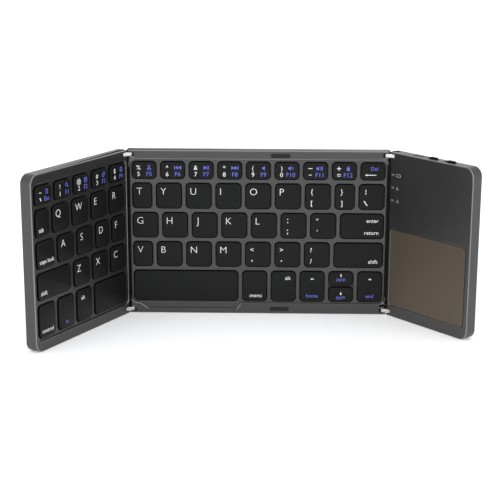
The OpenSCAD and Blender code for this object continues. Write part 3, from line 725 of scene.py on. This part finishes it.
def makeKeycapTree():
    tree, given = newTree("keycapTree", (
        "Width", "Length", "Corner Radius", "Height", "Draft", "Edge", "Skirt Wall", "Roof",
        "Plunger Radius", "Material"), keycap)
    points = keycap["cornerPoints"]
    disc = given.add("GeometryNodeMeshCircle", {"fill_type": "NGON"},
                     {"Vertices": 4 * points, "Radius": 1.0})
    index = given.add("GeometryNodeInputIndex")
    corner = (index / points).math("FLOOR", index / points)
    along = (index - corner * points) / (points - 1)
    angle = (corner + along) * math.radians(90)
    middle = corner * math.radians(90) + math.radians(45)
    radius = given.other("Corner Radius")
    cosine, sine = angle.math("COSINE", angle), angle.math("SINE", angle)
    signX = middle.math("SIGN", middle.math("COSINE", middle))
    signY = middle.math("SIGN", middle.math("SINE", middle))
    x = signX * (given.other("Width") / 2 - radius) + cosine * radius
    y = signY * (given.other("Length") / 2 - radius) + sine * radius
    ringed = disc.add("GeometryNodeStoreNamedAttribute",
                      {"data_type": "FLOAT_VECTOR", "domain": "POINT"},
                      {"Geometry": disc, "Name": "outward",
                       "Value": disc.xyz({"X": cosine, "Y": sine})})
    outline = ringed.add("GeometryNodeSetPosition", None,
                         {"Geometry": ringed,
                          "Position": disc.xyz({"X": x, "Y": y})})
    height, edge, draft = given.other("Height"), given.other("Edge"), given.other("Draft")
    shape, top = stepOut(outline, True, draft, height - edge)
    for step in range(keycap["edgeSteps"]):
        low, high = (math.radians(90) * (step + more) / keycap["edgeSteps"] for more in (0, 1))
        shape, top = stepOut(shape, top, edge * (math.cos(low) - math.cos(high)),
                             edge * (math.sin(high) - math.sin(low)))
    under = outline.add("GeometryNodeFlipFaces", None, {"Mesh": outline})
    inside, inner = stepOut(under, True, given.other("Skirt Wall"), 0.0)
    inside, inner = stepOut(inside, inner, 0.0, height - given.other("Roof"))
    plunger = given.add("GeometryNodeMeshCylinder", {"fill_type": "NGON"},
                        {"Vertices": keycap["plungerSides"], "Side Segments": 1,
                         "Radius": given.other("Plunger Radius"), "Depth": height})
    lift = given.xyz({"Z": height / 2 - given.other("Roof") / 2})
    shorter = plunger.add("GeometryNodeTransform", None,
                          {"Geometry": plunger, "Translation": lift,
                           "Scale": (1, 1, keycap["plungerShare"])})
    whole = shape.add("GeometryNodeJoinGeometry", None, {0: [shape, inside]})
    sealed = whole.add("GeometryNodeMergeByDistance", None, {0: whole, "Distance": weld})
    closeTree(tree, sealed.add("GeometryNodeJoinGeometry", None, {0: [sealed, shorter]}),
              given.other("Material"))
    return tree


keycapTree = makeKeycapTree()


def capMesh(low, high):
    width, length = high.x - low.x, high.y - low.y
    mesh = grown(keycapTree, "capTrial", {**keycap, "width": width, "length": length,
                                          "material": finishes["keyPlastic"]})
    mesh.transform(Matrix.Translation(((low.x + high.x) / 2, (low.y + high.y) / 2,
                                       keycap["top"] - keycap["height"])))
    return mesh


def islands(work):
    # the separate solids of a mesh, each as its lowest and highest corner
    left = set(work.verts)
    found = []
    while left:
        queue = [left.pop()]
        low, high = queue[0].co.copy(), queue[0].co.copy()
        while queue:
            vert = queue.pop()
            for i in range(3):
                low[i], high[i] = min(low[i], vert.co[i]), max(high[i], vert.co[i])
            for edge in vert.link_edges:
                other = edge.other_vert(vert)
                if other in left:
                    left.remove(other)
                    queue.append(other)
        found.append((low, high))
    return found


# ---- legends: text from the built-in font, and small signs drawn as outlines

marks = {"lift": 0.03, "sink": 0.03, "strokeWidth": 0.14}
# from the cap's nearest side and nearest end to the mark; height is that of a capital, and
# thinner is how much a letter's strokes lose on each side, in millimetres; a slot with no
# anchor is centred on its x, or on the cap where it has none
legendSlots = {
    "letter": {"x": 2.5, "anchor": "left", "top": 4.6, "height": 4.0, "thinner": 0.10},
    "shifted": {"x": 3.75, "top": 3.4, "height": 2.5},
    "digit": {"x": 3.75, "top": 7.25, "height": 2.5},
    "icon": {"x": 9.85, "top": 3.4, "height": 2.7, "blue": True},
    "function": {"x": 9.85, "top": 7.2, "height": 2.5, "blue": True},
    "lateIcon": {"x": 9.1, "top": 3.4, "height": 2.7, "blue": True},
    "lateFunction": {"x": 9.1, "top": 7.2, "height": 2.5, "blue": True},
    "upperSign": {"x": 3.75, "top": 4.3, "height": 2.7},
    "lowerSign": {"x": 3.75, "top": 11.0, "height": 2.7},
    "word": {"x": 2.0, "anchor": "left", "bottom": 3.6, "height": 2.25},
    "rightWord": {"x": 2.85, "anchor": "right", "bottom": 3.6, "height": 2.25},
    "rightUpperWord": {"x": 2.85, "anchor": "right", "top": 3.9, "height": 2.25},
    "upperWord": {"x": 3.6, "anchor": "left", "top": 4.7, "height": 2.25},
    "blueWord": {"bottom": 3.6, "height": 2.15, "blue": True},
    "cursor": {"top": 4.4, "height": 1.3},
    "pairCursor": {"top": 2.1, "height": 1.3},
    "pairWord": {"top": 4.3, "height": 1.9, "blue": True},
    "lowCursor": {"top": 3.8, "height": 1.3},
    "lowWord": {"top": 5.9, "height": 1.9, "blue": True},
    "delete": {"x": 7.7, "top": 3.4, "height": 2.1, "blue": True},
    "longArrow": {"x": 5.6, "top": 7.1, "height": 1.6},
}


def numberKey(shifted, digit, icon, function):
    late = len(function) > 2
    return [("shifted", shifted), ("digit", digit), ("lateIcon" if late else "icon", icon),
            ("lateFunction" if late else "function", function)]


def letterKeys(letters):
    return [[("letter", letter)] for letter in letters]


def pairKeys(*pairs):
    return [[("upperSign", upper), ("lowerSign", lower)] for upper, lower in pairs]


# rows from the front edge up and keys from left to right; a name after @ is a drawn sign
legends = {
    "left": [
        [[("word", "control")], [("blueWord", "fn")], [("upperWord", "alt")], []],
        [[("word", "shift")]] + letterKeys("ZXC"),
        [[("word", "caps lock")]] + letterKeys("ASDF"),
        [[("word", "tab")]] + letterKeys("QWER"),
        [numberKey("~", "@grave", "@home", "Esc"), numberKey("!", "1", "@search", "F1"),
         numberKey("@", "2", "@selectAll", "F2"), numberKey("#", "3", "@copy", "F3"),
         numberKey("$", "4", "@paste", "F4")],
    ],
    "centre": [
        [[], [("rightWord", "menu")], [("rightUpperWord", "alt")],
         [("cursor", "@cursorLeft"), ("blueWord", "home")],
         [("pairCursor", "@cursorUp"), ("pairWord", "pgup")],
         [("lowCursor", "@cursorDown"), ("lowWord", "pgdn")],
         [("cursor", "@cursorRight"), ("blueWord", "end")]],
        letterKeys("VBNM") + pairKeys(("<", "@comma"), (">", "@dot"), "?/")
        + [[("rightWord", "shift")]],
        letterKeys("GHJKL") + pairKeys(("@colon", "@semicolon"), "\"'")
        + [[("rightUpperWord", "enter"), ("rightWord", "return")]],
        letterKeys("TYUIOP") + pairKeys("{[", "}]", ("@brokenBar", "@backslash")),
        [numberKey("%", "5", "@cut", "F5"), numberKey("^", "6", "@previous", "F6"),
         numberKey("&", "7", "@playPause", "F7"), numberKey("*", "8", "@next", "F8"),
         numberKey("(", "9", "@mute", "F9"), numberKey(")", "0", "@quieter", "F10"),
         numberKey("@longDash", "@dash", "@louder", "F11"),
         numberKey("@plus", "@equals", "@lock", "F12"),
         [("delete", "Del"), ("longArrow", "@longArrow")]],
    ],
}


def stroke(points, width=None):
    # the outline of a line of that width through the points
    half = (width or marks["strokeWidth"]) / 2
    sides = [], []
    for i, point in enumerate(points):
        before, after = points[max(i - 1, 0)], points[min(i + 1, len(points) - 1)]
        run = Vector(after) - Vector(before)
        across = Vector((-run.y, run.x)).normalized() * half
        for side, sign in zip(sides, (1, -1)):
            side.append(tuple(Vector(point) + across * sign))
    return sides[0] + sides[1][::-1]


def arc(x, y, radius, start, end, steps=10):
    return [(x + radius * math.cos(math.radians(start + (end - start) * i / steps)),
             y + radius * math.sin(math.radians(start + (end - start) * i / steps)))
            for i in range(steps + 1)]


def box(x, y, width, height):
    return [(x - width / 2, y - height / 2), (x + width / 2, y - height / 2),
            (x + width / 2, y + height / 2), (x - width / 2, y + height / 2)]


def ringOf(x, y, radius, width=None):
    half = (width or marks["strokeWidth"]) / 2
    return [arc(x, y, radius + half, 0, 348, 16), arc(x, y, radius - half, 0, 348, 16)]


def frameOf(x, y, width, height):
    rim = marks["strokeWidth"]
    return [box(x, y, width, height), box(x, y, width - 2 * rim, height - 2 * rim)]


def turned(shapes, degrees):
    turn = Matrix.Rotation(math.radians(degrees), 2)
    return [[tuple(turn @ Vector(point)) for point in shape] for shape in shapes]


speaker = [(-0.5, -0.2), (-0.25, -0.2), (0.08, -0.48), (0.08, 0.48), (-0.25, 0.2), (-0.5, 0.2)]
leftTriangle = [(-0.32, 0), (0.28, 0.42), (0.28, -0.42)]
cursorArrow = [[(-0.75, 0), (-0.1, 0.5), (-0.1, 0.16), (0.7, 0.16), (0.7, -0.16), (-0.1, -0.16),
                (-0.1, -0.5)]]


def shifted(shape, x, y=0.0, size=1.0):
    return [(px * size + x, py * size + y) for px, py in shape]


def signs():
    # each sign is a list of closed outlines about its middle, one unit high
    outline = [(0, 0.55), (0.52, 0.02), (0.27, 0.02), (0.27, -0.5), (-0.27, -0.5), (-0.27, 0.02),
               (-0.52, 0.02)]
    made = {
        "home": [outline, shifted(outline, 0, -0.02, 0.66)],
        "search": ringOf(-0.12, 0.13, 0.3) + [stroke([(0.08, -0.08), (0.48, -0.48)])],
        "selectAll": frameOf(0, 0, 0.96, 0.96) + [box(0, 0, 0.36, 0.36)],
        "copy": frameOf(-0.12, -0.12, 0.7, 0.7)
        + [stroke([(-0.2, 0.46), (0.46, 0.46), (0.46, -0.2)])],
        "paste": frameOf(0, -0.05, 0.8, 0.9) + [box(0, 0.44, 0.4, 0.16)]
        + [box(0, 0.0, 0.36, 0.12), box(0, -0.24, 0.36, 0.12)],
        "cut": [stroke([(-0.22, 0.5), (0.14, -0.2)]), stroke([(0.22, 0.5), (-0.14, -0.2)])]
        + ringOf(-0.24, -0.34, 0.15, 0.13) + ringOf(0.24, -0.34, 0.15, 0.13),
        "previous": [box(-0.78, 0, 0.16, 0.8), shifted(leftTriangle, -0.32),
                     shifted(leftTriangle, 0.34)],
        "playPause": [turned([shifted(leftTriangle, 0)], 180)[0], box(0.46, 0, 0.15, 0.8),
                      box(0.76, 0, 0.15, 0.8)],
        "mute": [shifted(speaker, 0.1)],
        "quieter": [shifted(speaker, -0.2), stroke(arc(-0.1, 0, 0.42, -45, 45))],
        "louder": [shifted(speaker, -0.3), stroke(arc(-0.2, 0, 0.42, -45, 45)),
                   stroke(arc(-0.2, 0, 0.72, -42, 42))],
        "lock": [box(0, -0.18, 0.66, 0.6), stroke(arc(0, 0.14, 0.22, 0, 180), 0.12)],
        "longArrow": [[(-2.0, 0), (-1.3, 0.42), (-1.3, 0.12), (2.0, 0.12), (2.0, -0.12),
                       (-1.3, -0.12), (-1.3, -0.42)]],
        "cursorLeft": cursorArrow,
        "cursorRight": turned(cursorArrow, 180),
        "cursorUp": turned(cursorArrow, -90),
        "cursorDown": turned(cursorArrow, 90),
        "battery": frameOf(-0.1, 0, 1.7, 0.95) + [box(0.86, 0, 0.2, 0.4)],
        "grave": [stroke([(-0.2, 0.36), (0.2, -0.36)], 0.2)],
        "backslash": [stroke([(-0.36, 0.5), (0.36, -0.5)], 0.2)],
        "brokenBar": [box(0, 0.3, 0.16, 0.4), box(0, -0.3, 0.16, 0.4)],
        "longDash": [box(0, 0, 1.0, 0.14)],
        "dash": [box(0, 0, 0.64, 0.14)],
        "plus": [[(-0.46, 0.08), (-0.08, 0.08), (-0.08, 0.46), (0.08, 0.46), (0.08, 0.08),
                  (0.46, 0.08), (0.46, -0.08), (0.08, -0.08), (0.08, -0.46), (-0.08, -0.46),
                  (-0.08, -0.08), (-0.46, -0.08)]],
        "equals": [box(0, 0.2, 0.84, 0.13), box(0, -0.2, 0.84, 0.13)],
        "colon": [box(0, 0.36, 0.2, 0.2), box(0, -0.36, 0.2, 0.2)],
        "semicolon": [box(0, 0.36, 0.2, 0.2), stroke([(0.05, -0.24), (-0.04, -0.58)], 0.18)],
        "comma": [stroke([(0.05, 0.14), (-0.06, -0.24)], 0.18)],
        "dot": [box(0, 0, 0.24, 0.24)],
        "radioWaves": [arc(-0.45, -0.45, 0.16, 0, 348, 12), stroke(arc(-0.45, -0.45, 0.5, 0, 90)),
                       stroke(arc(-0.45, -0.45, 0.9, 0, 90))],
    }
    made["next"] = turned(made["previous"], 180)
    return made


signShapes = signs()


def printMesh(curve):
    # a flat curve as a closed thin solid about z = 0
    holder = linked("printTrial", curve)
    work = bmesh.new()
    work.from_mesh(bakedMesh(holder))
    bmesh.ops.remove_doubles(work, verts=work.verts, dist=1e-5)
    bmesh.ops.recalc_face_normals(work, faces=work.faces)
    bpy.data.objects.remove(holder)
    return meshOf(work, "print")


printed = {}


def markMesh(text, height, thinner=0):
    # the mark's mesh with its capitals that high, and its baseline on y = 0 for a text
    if (text, height) in printed:
        return printed[text, height].copy()
    if text[0] == "@" and len(text) > 1:
        curve = bpy.data.curves.new("sign", "CURVE")
        curve.dimensions = "2D"
        curve.fill_mode = "BOTH"
        for shape in signShapes[text[1:]]:
            spline = curve.splines.new("POLY")
            spline.points.add(len(shape) - 1)
            for point, (x, y) in zip(spline.points, shape):
                point.co = (x, y, 0, 1)
            spline.use_cyclic_u = True
        size = height
    else:
        curve = bpy.data.curves.new("words", "FONT")
        curve.body = text
        curve.resolution_u = 3
        size = height / capitalHeight
        curve.offset = -thinner / size
    curve.extrude = (marks["lift"] + marks["sink"]) / 2 / size
    mesh = printMesh(curve)
    mesh.transform(Matrix.Scale(size, 4))
    printed[text, height] = mesh
    return mesh.copy()


def measured(mesh):
    xs, ys = [v.co.x for v in mesh.vertices], [v.co.y for v in mesh.vertices]
    return min(xs), max(xs), min(ys), max(ys)


capitalHeight = 1
capitalHeight = measured(markMesh("H", 1))[3]
printed.clear()


def legendMesh(slotName, text, low, high, wider=0.0):
    # a mark in its place on the cap between those corners
    slot = legendSlots[slotName]
    mesh = markMesh(text, slot["height"], slot.get("thinner", 0))
    left, right, bottom, top = measured(mesh)
    isSign = text[0] == "@" and len(text) > 1
    anchor = slot.get("anchor")
    if anchor == "left":
        x = low.x + slot["x"] - left
    elif anchor == "right":
        x = high.x - slot["x"] - right
    elif "x" in slot:
        x = low.x + slot["x"] + wider - (left + right) / 2
    else:
        x = (low.x + high.x) / 2 - (left + right) / 2
    y = high.y - slot["top"] if "top" in slot else low.y + slot["bottom"]
    y -= (bottom + top) / 2 if isSign else slot["height"] / 2
    mesh.transform(Matrix.Translation((x, y, keycap["top"] + (marks["lift"] - marks["sink"]) / 2)))
    return mesh


def joined(name, parts, names):
    # one object of several meshes, each with the finish of its name
    work = bmesh.new()
    for mesh, finish in parts:
        first = len(work.faces)
        work.from_mesh(mesh)
        work.faces.ensure_lookup_table()
        for face in work.faces[first:]:
            face.material_index = names.index(finish)
    mesh = meshOf(work, name)
    for finish in names:
        mesh.materials.append(finishes[finish])
    return linked(name, mesh)


rowStarts = (7.3, 28.4, 45.9, 63.4, 80.9)  # y of each row of holes
symbolShift = {"left": 0.7, "centre": 0.0}  # of a panel's marks that are centred on their x
capSharp = 35  # degrees
homing = {"length": 3.4, "width": 0.5, "rise": 0.2, "fromEdge": 1.4, "sink": 0.1, "round": 0.09,
          "keys": ("key_f", "key_j")}


def homingMesh(low, high):
    work = bmesh.new()
    bmesh.ops.create_cube(work, size=1)
    middle = ((low.x + high.x) / 2, low.y + homing["fromEdge"] + homing["width"] / 2,
              keycap["top"] + (homing["rise"] - homing["sink"]) / 2)
    size = (homing["length"], homing["width"], homing["rise"] + homing["sink"])
    bmesh.ops.transform(work, verts=work.verts,
                        matrix=Matrix.Translation(middle) @ Matrix.Diagonal((*size, 1)))
    bmesh.ops.bevel(work, geom=work.edges[:], offset=homing["round"], segments=2,
                    affect="EDGES")
    return meshOf(work, "homingBar")


def makeKeys():
    keyNodes = [name for name in nodes if name.startswith(("key_", "space_bar"))
                or name.endswith(("number_and_modifier_keys", "number_keys", "command_keys"))]
    for panel in ("left", "centre"):
        place = layout[panel]["place"]
        rows = [[] for _ in rowStarts]
        mine = {}
        for name in keyNodes:
            work = solidMesh(name, place)
            found = islands(work)
            work.free()
            lowest = min(low.z for low, high in found)
            highest = max(high.z for low, high in found)
            if lowest < -panels["thickness"] or highest > keycap["highest"]:
                continue  # another panel's key
            mine[name] = []
            for low, high in found:
                if high.x - low.x > keycap["narrowest"]:
                    row = bisect.bisect(rowStarts, (low.y + high.y) / 2) - 1
                    rows[row].append((round(low.x, 1), -low.y, name, low, high))
        for row, given in zip(rows, legends[panel]):
            row.sort(key=lambda cap: cap[:2])
            assert len(row) == len(given), (panel, len(row), len(given))
            for (x, y, name, low, high), entries in zip(row, given):
                high.z = keycap["top"]
                mine[name].append((capMesh(low, high), "keyPlastic"))
                if name in homing["keys"]:
                    mine[name].append((homingMesh(low, high), "keyPlastic"))
                for slotName, text in entries:
                    mark = legendMesh(slotName, text, low, high, symbolShift[panel])
                    isBlue = "blue" in legendSlots[slotName]
                    mine[name].append((mark, "legendBlue" if isBlue else "legendWhite"))
        for name, parts in mine.items():
            used = ["keyPlastic", "skirtPlastic"]
            used += [finish for finish in ("legendWhite", "legendBlue")
                     if any(part[1] == finish for part in parts)]
            piece = joined(name + "_caps", parts, used)
            # the caps' steep side walls take the darker skirt plastic, painted shade for the gaps
            # round the keys
            for face in piece.data.polygons:
                if face.material_index == 0 and abs(face.normal.z) < keycap["steep"]:
                    face.material_index = 1
            piece.data.shade_smooth()
            piece.data.set_sharp_from_angle(angle=math.radians(capSharp))
            piece.data.transform(place)
            placed(piece, name + "_body", "keycap", name)
        print(panel, "keys made", len(mine))


makeKeys()

# ---- touchpad, printed signs, socket and switches on the right wing

rightPlace = layout["right"]["place"]
touchEdges = {"top": 0.22, "socket": 0.08, "knob": 0.25, "topNear": 0.05, "rearNear": 0.5}
deckSigns = {"@battery": (7.4, 85.0, 1.9), "@radioWaves": (6.8, 77.4, 1.7), "A": (6.2, 69.0, 2.0)}
knobRibs = {"count": 4, "pitch": 1.1, "width": 0.5, "length": 1.7, "rise": 0.18, "out": 0.9}


def makeTouchpad():
    def edge(middle, normals):
        return touchEdges["top"] if middle.z > -touchEdges["topNear"] else 0

    # painted shade: the pad's rounded edge takes near-black knob plastic, standing in for the
    # shade in the groove round the pad
    pad = softened("touchpad", rightPlace, edge, "padGlass", edgeFinish="knobPlastic",
                   isEdge=lambda middle: True)
    placed(pad, "right_wing", "touch_surface", "touchpad")


def makeDeckSigns():
    parts = []
    for text, (x, y, height) in deckSigns.items():
        mesh = markMesh(text, height)
        mesh.transform(Matrix.Translation((x, y, (marks["lift"] - marks["sink"]) / 2)))
        parts.append((mesh, "deckPrint"))
    prints = joined("deckSigns", parts, ["deckPrint"])
    prints.data.transform(rightPlace)
    placed(prints, "right_wing", "frame_shell")


def makeRibTree():
    tree, given = newTree("ribTree", ("Count", "Pitch", "Width", "Length", "Rise", "Material"),
                          knobRibs)
    count, pitch = given.other("Count"), given.other("Pitch")
    start = given.xyz({"X": pitch * (count - 1) * -0.5})
    step = given.xyz({"X": pitch})
    line = given.add("GeometryNodeMeshLine", {"mode": "OFFSET"},
                     {"Count": count, "Start Location": start, "Offset": step})
    bar = given.add("GeometryNodeMeshCylinder", {"fill_type": "NGON"},
                    {"Vertices": 12, "Radius": 0.5, "Depth": 1.0})
    size = given.xyz({"X": given.other("Width"), "Y": given.other("Rise") * 2,
                      "Z": given.other("Length")})
    sized = bar.add("GeometryNodeTransform", None, {"Geometry": bar, "Scale": size})
    each = line.add("GeometryNodeInstanceOnPoints", None, {"Points": line, "Instance": sized})
    closeTree(tree, each, given.other("Material"))
    return tree


def makeKnobs():
    def edge(middle, normals):
        isOutside = middle.y > panels["depth"] + touchEdges["rearNear"]
        return touchEdges["knob"] if isOutside else 0

    tree = makeRibTree()
    for name in ("power_switch", "mode_switch"):
        knob = softened(name, rightPlace, edge, "knobPlastic", segments=3)
        low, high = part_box(name)
        middle = rightPlace.inverted() @ ((low + high) / 2)
        ribs = grown(tree, "ribTrial", {**knobRibs, "material": finishes["knobPlastic"]})
        ribs.transform(rightPlace @ Matrix.Translation((
            middle.x, panels["depth"] + knobRibs["out"], -panels["thickness"] / 2)))
        whole = joined(name + "_ribbed", [(knob.data, "knobPlastic"), (ribs, "knobPlastic")],
                       ["knobPlastic"])
        bpy.data.objects.remove(knob)
        placed(whole, name.replace("switch", "knob"), "knob_plastic", name)


def makeSocket():
    def edge(middle, normals):
        isMouth = middle.y > panels["depth"] - touchEdges["rearNear"]
        return touchEdges["socket"] if isMouth else 0

    socket = softened("charging_socket", rightPlace, edge, "socketSteel")
    placed(socket, "right_wing", "socket_steel", "charging_socket")


makeTouchpad()
makeDeckSigns()
makeKnobs()
makeSocket()
print("right wing's pieces made")

# ---- folds: links, screws and flat cables

foldSides = {
    "left": {"side": -1, "fold": panels["leftFold"]},
    "right": {"side": 1, "fold": panels["rightFold"]},
}
linkEdges = {
    "width": 0.32,
    "inset": 2.4,  # of a link's middle from the panel's end
    "half": 1.1,  # of its width
    "near": 0.05, "upright": 0.9, "face": 0.4, "back": 2.9,
}
flex = {
    "width": 34, "thickness": 0.3, "depth": 3.6, "tail": 2.5, "offset": 9, "steps": 10,
    "end": 0.6,  # from a panel's front or rear edge to the wide span between the panels
    "shoulder": 0.15,  # run over which it widens
    "tailSteps": (0.33, 0.66, 1),  # shares of a tail's length
    "sharp": 40,  # degrees
    "pitch": 4.2,  # between a fold's two pins
}
screwHead = {
    "radius": 1.3, "thickness": 0.4, "crown": 0.14, "crossLength": 1.5, "crossWidth": 0.34,
    "crossDepth": 0.3, "shankRadius": 0.6, "shank": 4.2, "sides": 24,
    "recess": 0.6, "inset": 1.9, "depth": 4.1, "overlap": 0.05,
    "sharp": 30,  # degrees
}


def linkEdge(middle, normals):
    # the links' front edges, and the sides of their backs
    halfDepth = panels["depth"] / 2
    fromEnd = halfDepth - abs(middle.y - halfDepth)
    onSide = abs(abs(fromEnd - linkEdges["inset"]) - linkEdges["half"]) < linkEdges["near"]
    isUpright = max(abs(n.y) for n in normals) > linkEdges["upright"]
    isBack = onSide and isUpright and middle.z < -linkEdges["back"]
    return linkEdges["width"] if isBack or middle.z > -linkEdges["face"] else 0


def makeLinks():
    for name, side in foldSides.items():
        place = foldPlace(side["side"], side["fold"])
        links = softened(name + "_fold_links", place, linkEdge, "linkPlate")
        placed(links, name + "_links", "link_chrome", name + "_fold_links")


def flexStrip(name, place, side, points, normalsAt, spans):
    # a closed strip along points, each with its own span in y
    work = bmesh.new()
    half = flex["thickness"] / 2
    rings = []
    for (x, z), (nx, nz), (front, rear) in zip(points, normalsAt, spans):
        ring = [work.verts.new((side * (x + sign * half * nx), y, z + sign * half * nz))
                for sign, y in ((1, front), (1, rear), (-1, rear), (-1, front))]
        rings.append(ring)
    for one, two in zip(rings, rings[1:]):
        for i in range(4):
            work.faces.new((one[i], one[(i + 1) % 4], two[(i + 1) % 4], two[i]))
    work.faces.new(rings[0][::-1])
    work.faces.new(rings[-1])
    bmesh.ops.recalc_face_normals(work, faces=work.faces)
    piece = linked(name, meshOf(work, name))
    piece.data.shade_smooth()
    piece.data.set_sharp_from_angle(angle=math.radians(flex["sharp"]))
    piece.data.materials.append(finishes["flexFilm"])
    piece.data.transform(place)
    return piece


def makeFlexes():
    pin = panels["pinInset"]
    start = (panels["depth"] - flex["width"]) / 2 - flex["offset"]
    narrow = (start, start + flex["width"])
    wide = (flex["end"], panels["depth"] - flex["end"])
    for name, one in foldSides.items():
        side, half = one["side"], math.radians(one["fold"] / 2)
        drop = flex["depth"] - pin
        reach = pin * math.cos(half) - drop * math.sin(half)
        bend = (flex["pitch"] - 2 * reach) / (2 * math.sin(half))
        place = standing @ Matrix.Translation((side * panels["centreHalf"], 0, 0))
        first = flex["shoulder"] / bend
        count = 2 * flex["steps"]
        turns = [0] + [first + (2 * half - 2 * first) * i / count for i in range(count + 1)]
        turns.append(2 * half)
        points = [(bend * math.sin(turn), bend - flex["depth"] - bend * math.cos(turn))
                  for turn in turns]
        across = [(-math.sin(turn), math.cos(turn)) for turn in turns]
        shares = flex["tailSteps"]
        tails = len(shares)
        before = [(-flex["tail"] * share, -flex["depth"]) for share in reversed(shares)]
        run = (math.cos(2 * half), math.sin(2 * half))
        after = [(points[-1][0] + run[0] * flex["tail"] * share,
                  points[-1][1] + run[1] * flex["tail"] * share) for share in shares]
        points = before + points + after
        across = [across[0]] * tails + across + [across[-1]] * tails
        spans = [narrow] * (tails + 1) + [wide] * (count + 1) + [narrow] * (tails + 1)
        cut = tails + 1 + flex["steps"]
        middle = place @ Vector((side * points[cut][0], panels["depth"] / 2, points[cut][1]))
        halves = (("inner", slice(0, cut + 1), ("centre_panel", name + "_links")),
                  ("outer", slice(cut, None), (name + "_links", name + "_wing")))
        for part, piece, bodies in halves:
            strip = flexStrip(f"{name}_flex_{part}", place, side, points[piece], across[piece],
                              spans[piece])
            ends = [place @ Vector((side * points[i][0], panels["depth"] / 2, points[i][1]))
                    for i in (tails, len(points) - 1 - tails)]
            if part == "inner":
                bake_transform(strip)
            else:
                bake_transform(strip)
            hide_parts(name + "_fold_flex")


def makeScrewTree():
    tree, given = newTree("screwTree", (
        "Geometry In", "Radius", "Thickness", "Crown", "Cross Length", "Cross Width",
        "Cross Depth", "Shank Radius", "Shank", "Material"), screwHead)
    radius, crown = given.other("Radius"), given.other("Crown")
    thickness = given.other("Thickness")

    def raisedBy(shape, lift):
        return shape.add("GeometryNodeTransform", None,
                         {"Geometry": shape,
                          "Translation": shape.xyz({"Z": lift})})

    base = given.add("GeometryNodeMeshCylinder", {"fill_type": "NGON"},
                     {"Vertices": screwHead["sides"], "Side Segments": 1, "Radius": radius,
                      "Depth": thickness - crown})
    dome = given.add("GeometryNodeMeshCone", {"fill_type": "NGON"},
                     {"Vertices": screwHead["sides"], "Side Segments": 1, "Fill Segments": 1,
                      "Radius Top": radius - crown, "Radius Bottom": radius, "Depth": crown})
    head = base.add("GeometryNodeJoinGeometry", None,
                    {0: [raisedBy(base, (thickness - crown) / 2),
                         raisedBy(dome, thickness - crown)]})
    sealed = head.add("GeometryNodeMergeByDistance", None, {0: head, "Distance": weld})
    bars = []
    for axis in ("X", "Y"):
        other = "Y" if axis == "X" else "X"
        size = given.xyz({axis: given.other("Cross Length"), other: given.other("Cross Width"),
                          "Z": given.other("Cross Depth") * 2})
        bars.append(raisedBy(given.add("GeometryNodeMeshCube", None, {"Size": size}), thickness))
    cross = bars[0].add("GeometryNodeMeshBoolean", {"operation": "DIFFERENCE"}, None)
    tree.links.new(sealed.socket, cross.socket.node.inputs[0])
    for bar in bars:
        tree.links.new(bar.socket, cross.socket.node.inputs[1])
    shank = given.add("GeometryNodeMeshCylinder", {"fill_type": "NGON"},
                      {"Vertices": screwHead["sides"], "Side Segments": 1,
                       "Radius": given.other("Shank Radius"), "Depth": given.other("Shank")})
    screw = shank.add("GeometryNodeJoinGeometry", None,
                      {0: [cross, raisedBy(shank, given.other("Shank") * -0.5
                                           + screwHead["overlap"])]})
    outward = given.add("GeometryNodeInputNamedAttribute", {"data_type": "FLOAT_VECTOR"},
                        {"Name": "outward"})
    turn = given.add("FunctionNodeAlignRotationToVector", {"axis": "Z"}, {"Vector": outward})
    each = screw.add("GeometryNodeInstanceOnPoints", None,
                     {"Points": given.other("Geometry In"), "Instance": screw, "Rotation": turn})
    closeTree(tree, each, given.other("Material"))
    return tree


def makeScrews():
    tree = makeScrewTree()
    away = screwHead["recess"]
    for panel, side in layout.items():
        points = bpy.data.meshes.new(panel + "ScrewPlaces")
        places, outward = [], []
        for fold in side["folds"]:
            inward = -1 if fold == side["high"] else 1
            for y, way in ((away, -1), (panels["depth"] - away, 1)):
                places.append((fold + inward * screwHead["inset"], y, -screwHead["depth"]))
                outward.append((0, way, 0))
        points.from_pydata(places, [], [])
        ways = points.attributes.new("outward", "FLOAT_VECTOR", "POINT")
        for item, way in zip(ways.data, outward):
            item.vector = way
        mesh = grown(tree, "screwTrial", {**screwHead, "material": finishes["turnedSteel"]},
                     points)
        mesh.shade_smooth()
        mesh.set_sharp_from_angle(angle=math.radians(screwHead["sharp"]))
        mesh.transform(side["place"])
        screws = linked(panel + "_screws", mesh)
        placed(screws, side["body"], "screw_steel", panel + "_hinge_screws")


footEdges = {"width": 0.3, "bumper": 0.1, "foot": 0.5}  # the last two are heights over a face


def footEdge(middle, normals):
    isBumper = middle.z > footEdges["bumper"]
    isFoot = middle.z < -panels["thickness"] - footEdges["foot"]
    return footEdges["width"] if isBumper or isFoot else 0


def makeFeet():
    for panel, side in layout.items():
        node = panel + ("_feet_and_bumpers" if panel == "centre" else "_feet")
        feet = softened(node, side["place"], footEdge, "rubberBlack")
        placed(feet, side["body"], "rubber_pad", node)


makeLinks()
makeFlexes()
makeScrews()
makeFeet()
print("folds, screws and feet made")

# ---- the floor

floorHalf = studio["floorHalf"]
floorMesh = bpy.data.meshes.new("floor")
floorMesh.from_pydata([(x * floorHalf[0] * mm, (y * floorHalf[1] + studio["floorMiddle"]) * mm, 0)
                       for x, y in ((-1, -1), (1, -1), (1, 1), (-1, 1))], [], [(0, 1, 2, 3)])
floorMesh.materials.append(finishes["floorPaper"])
linked("floor", floorMesh)
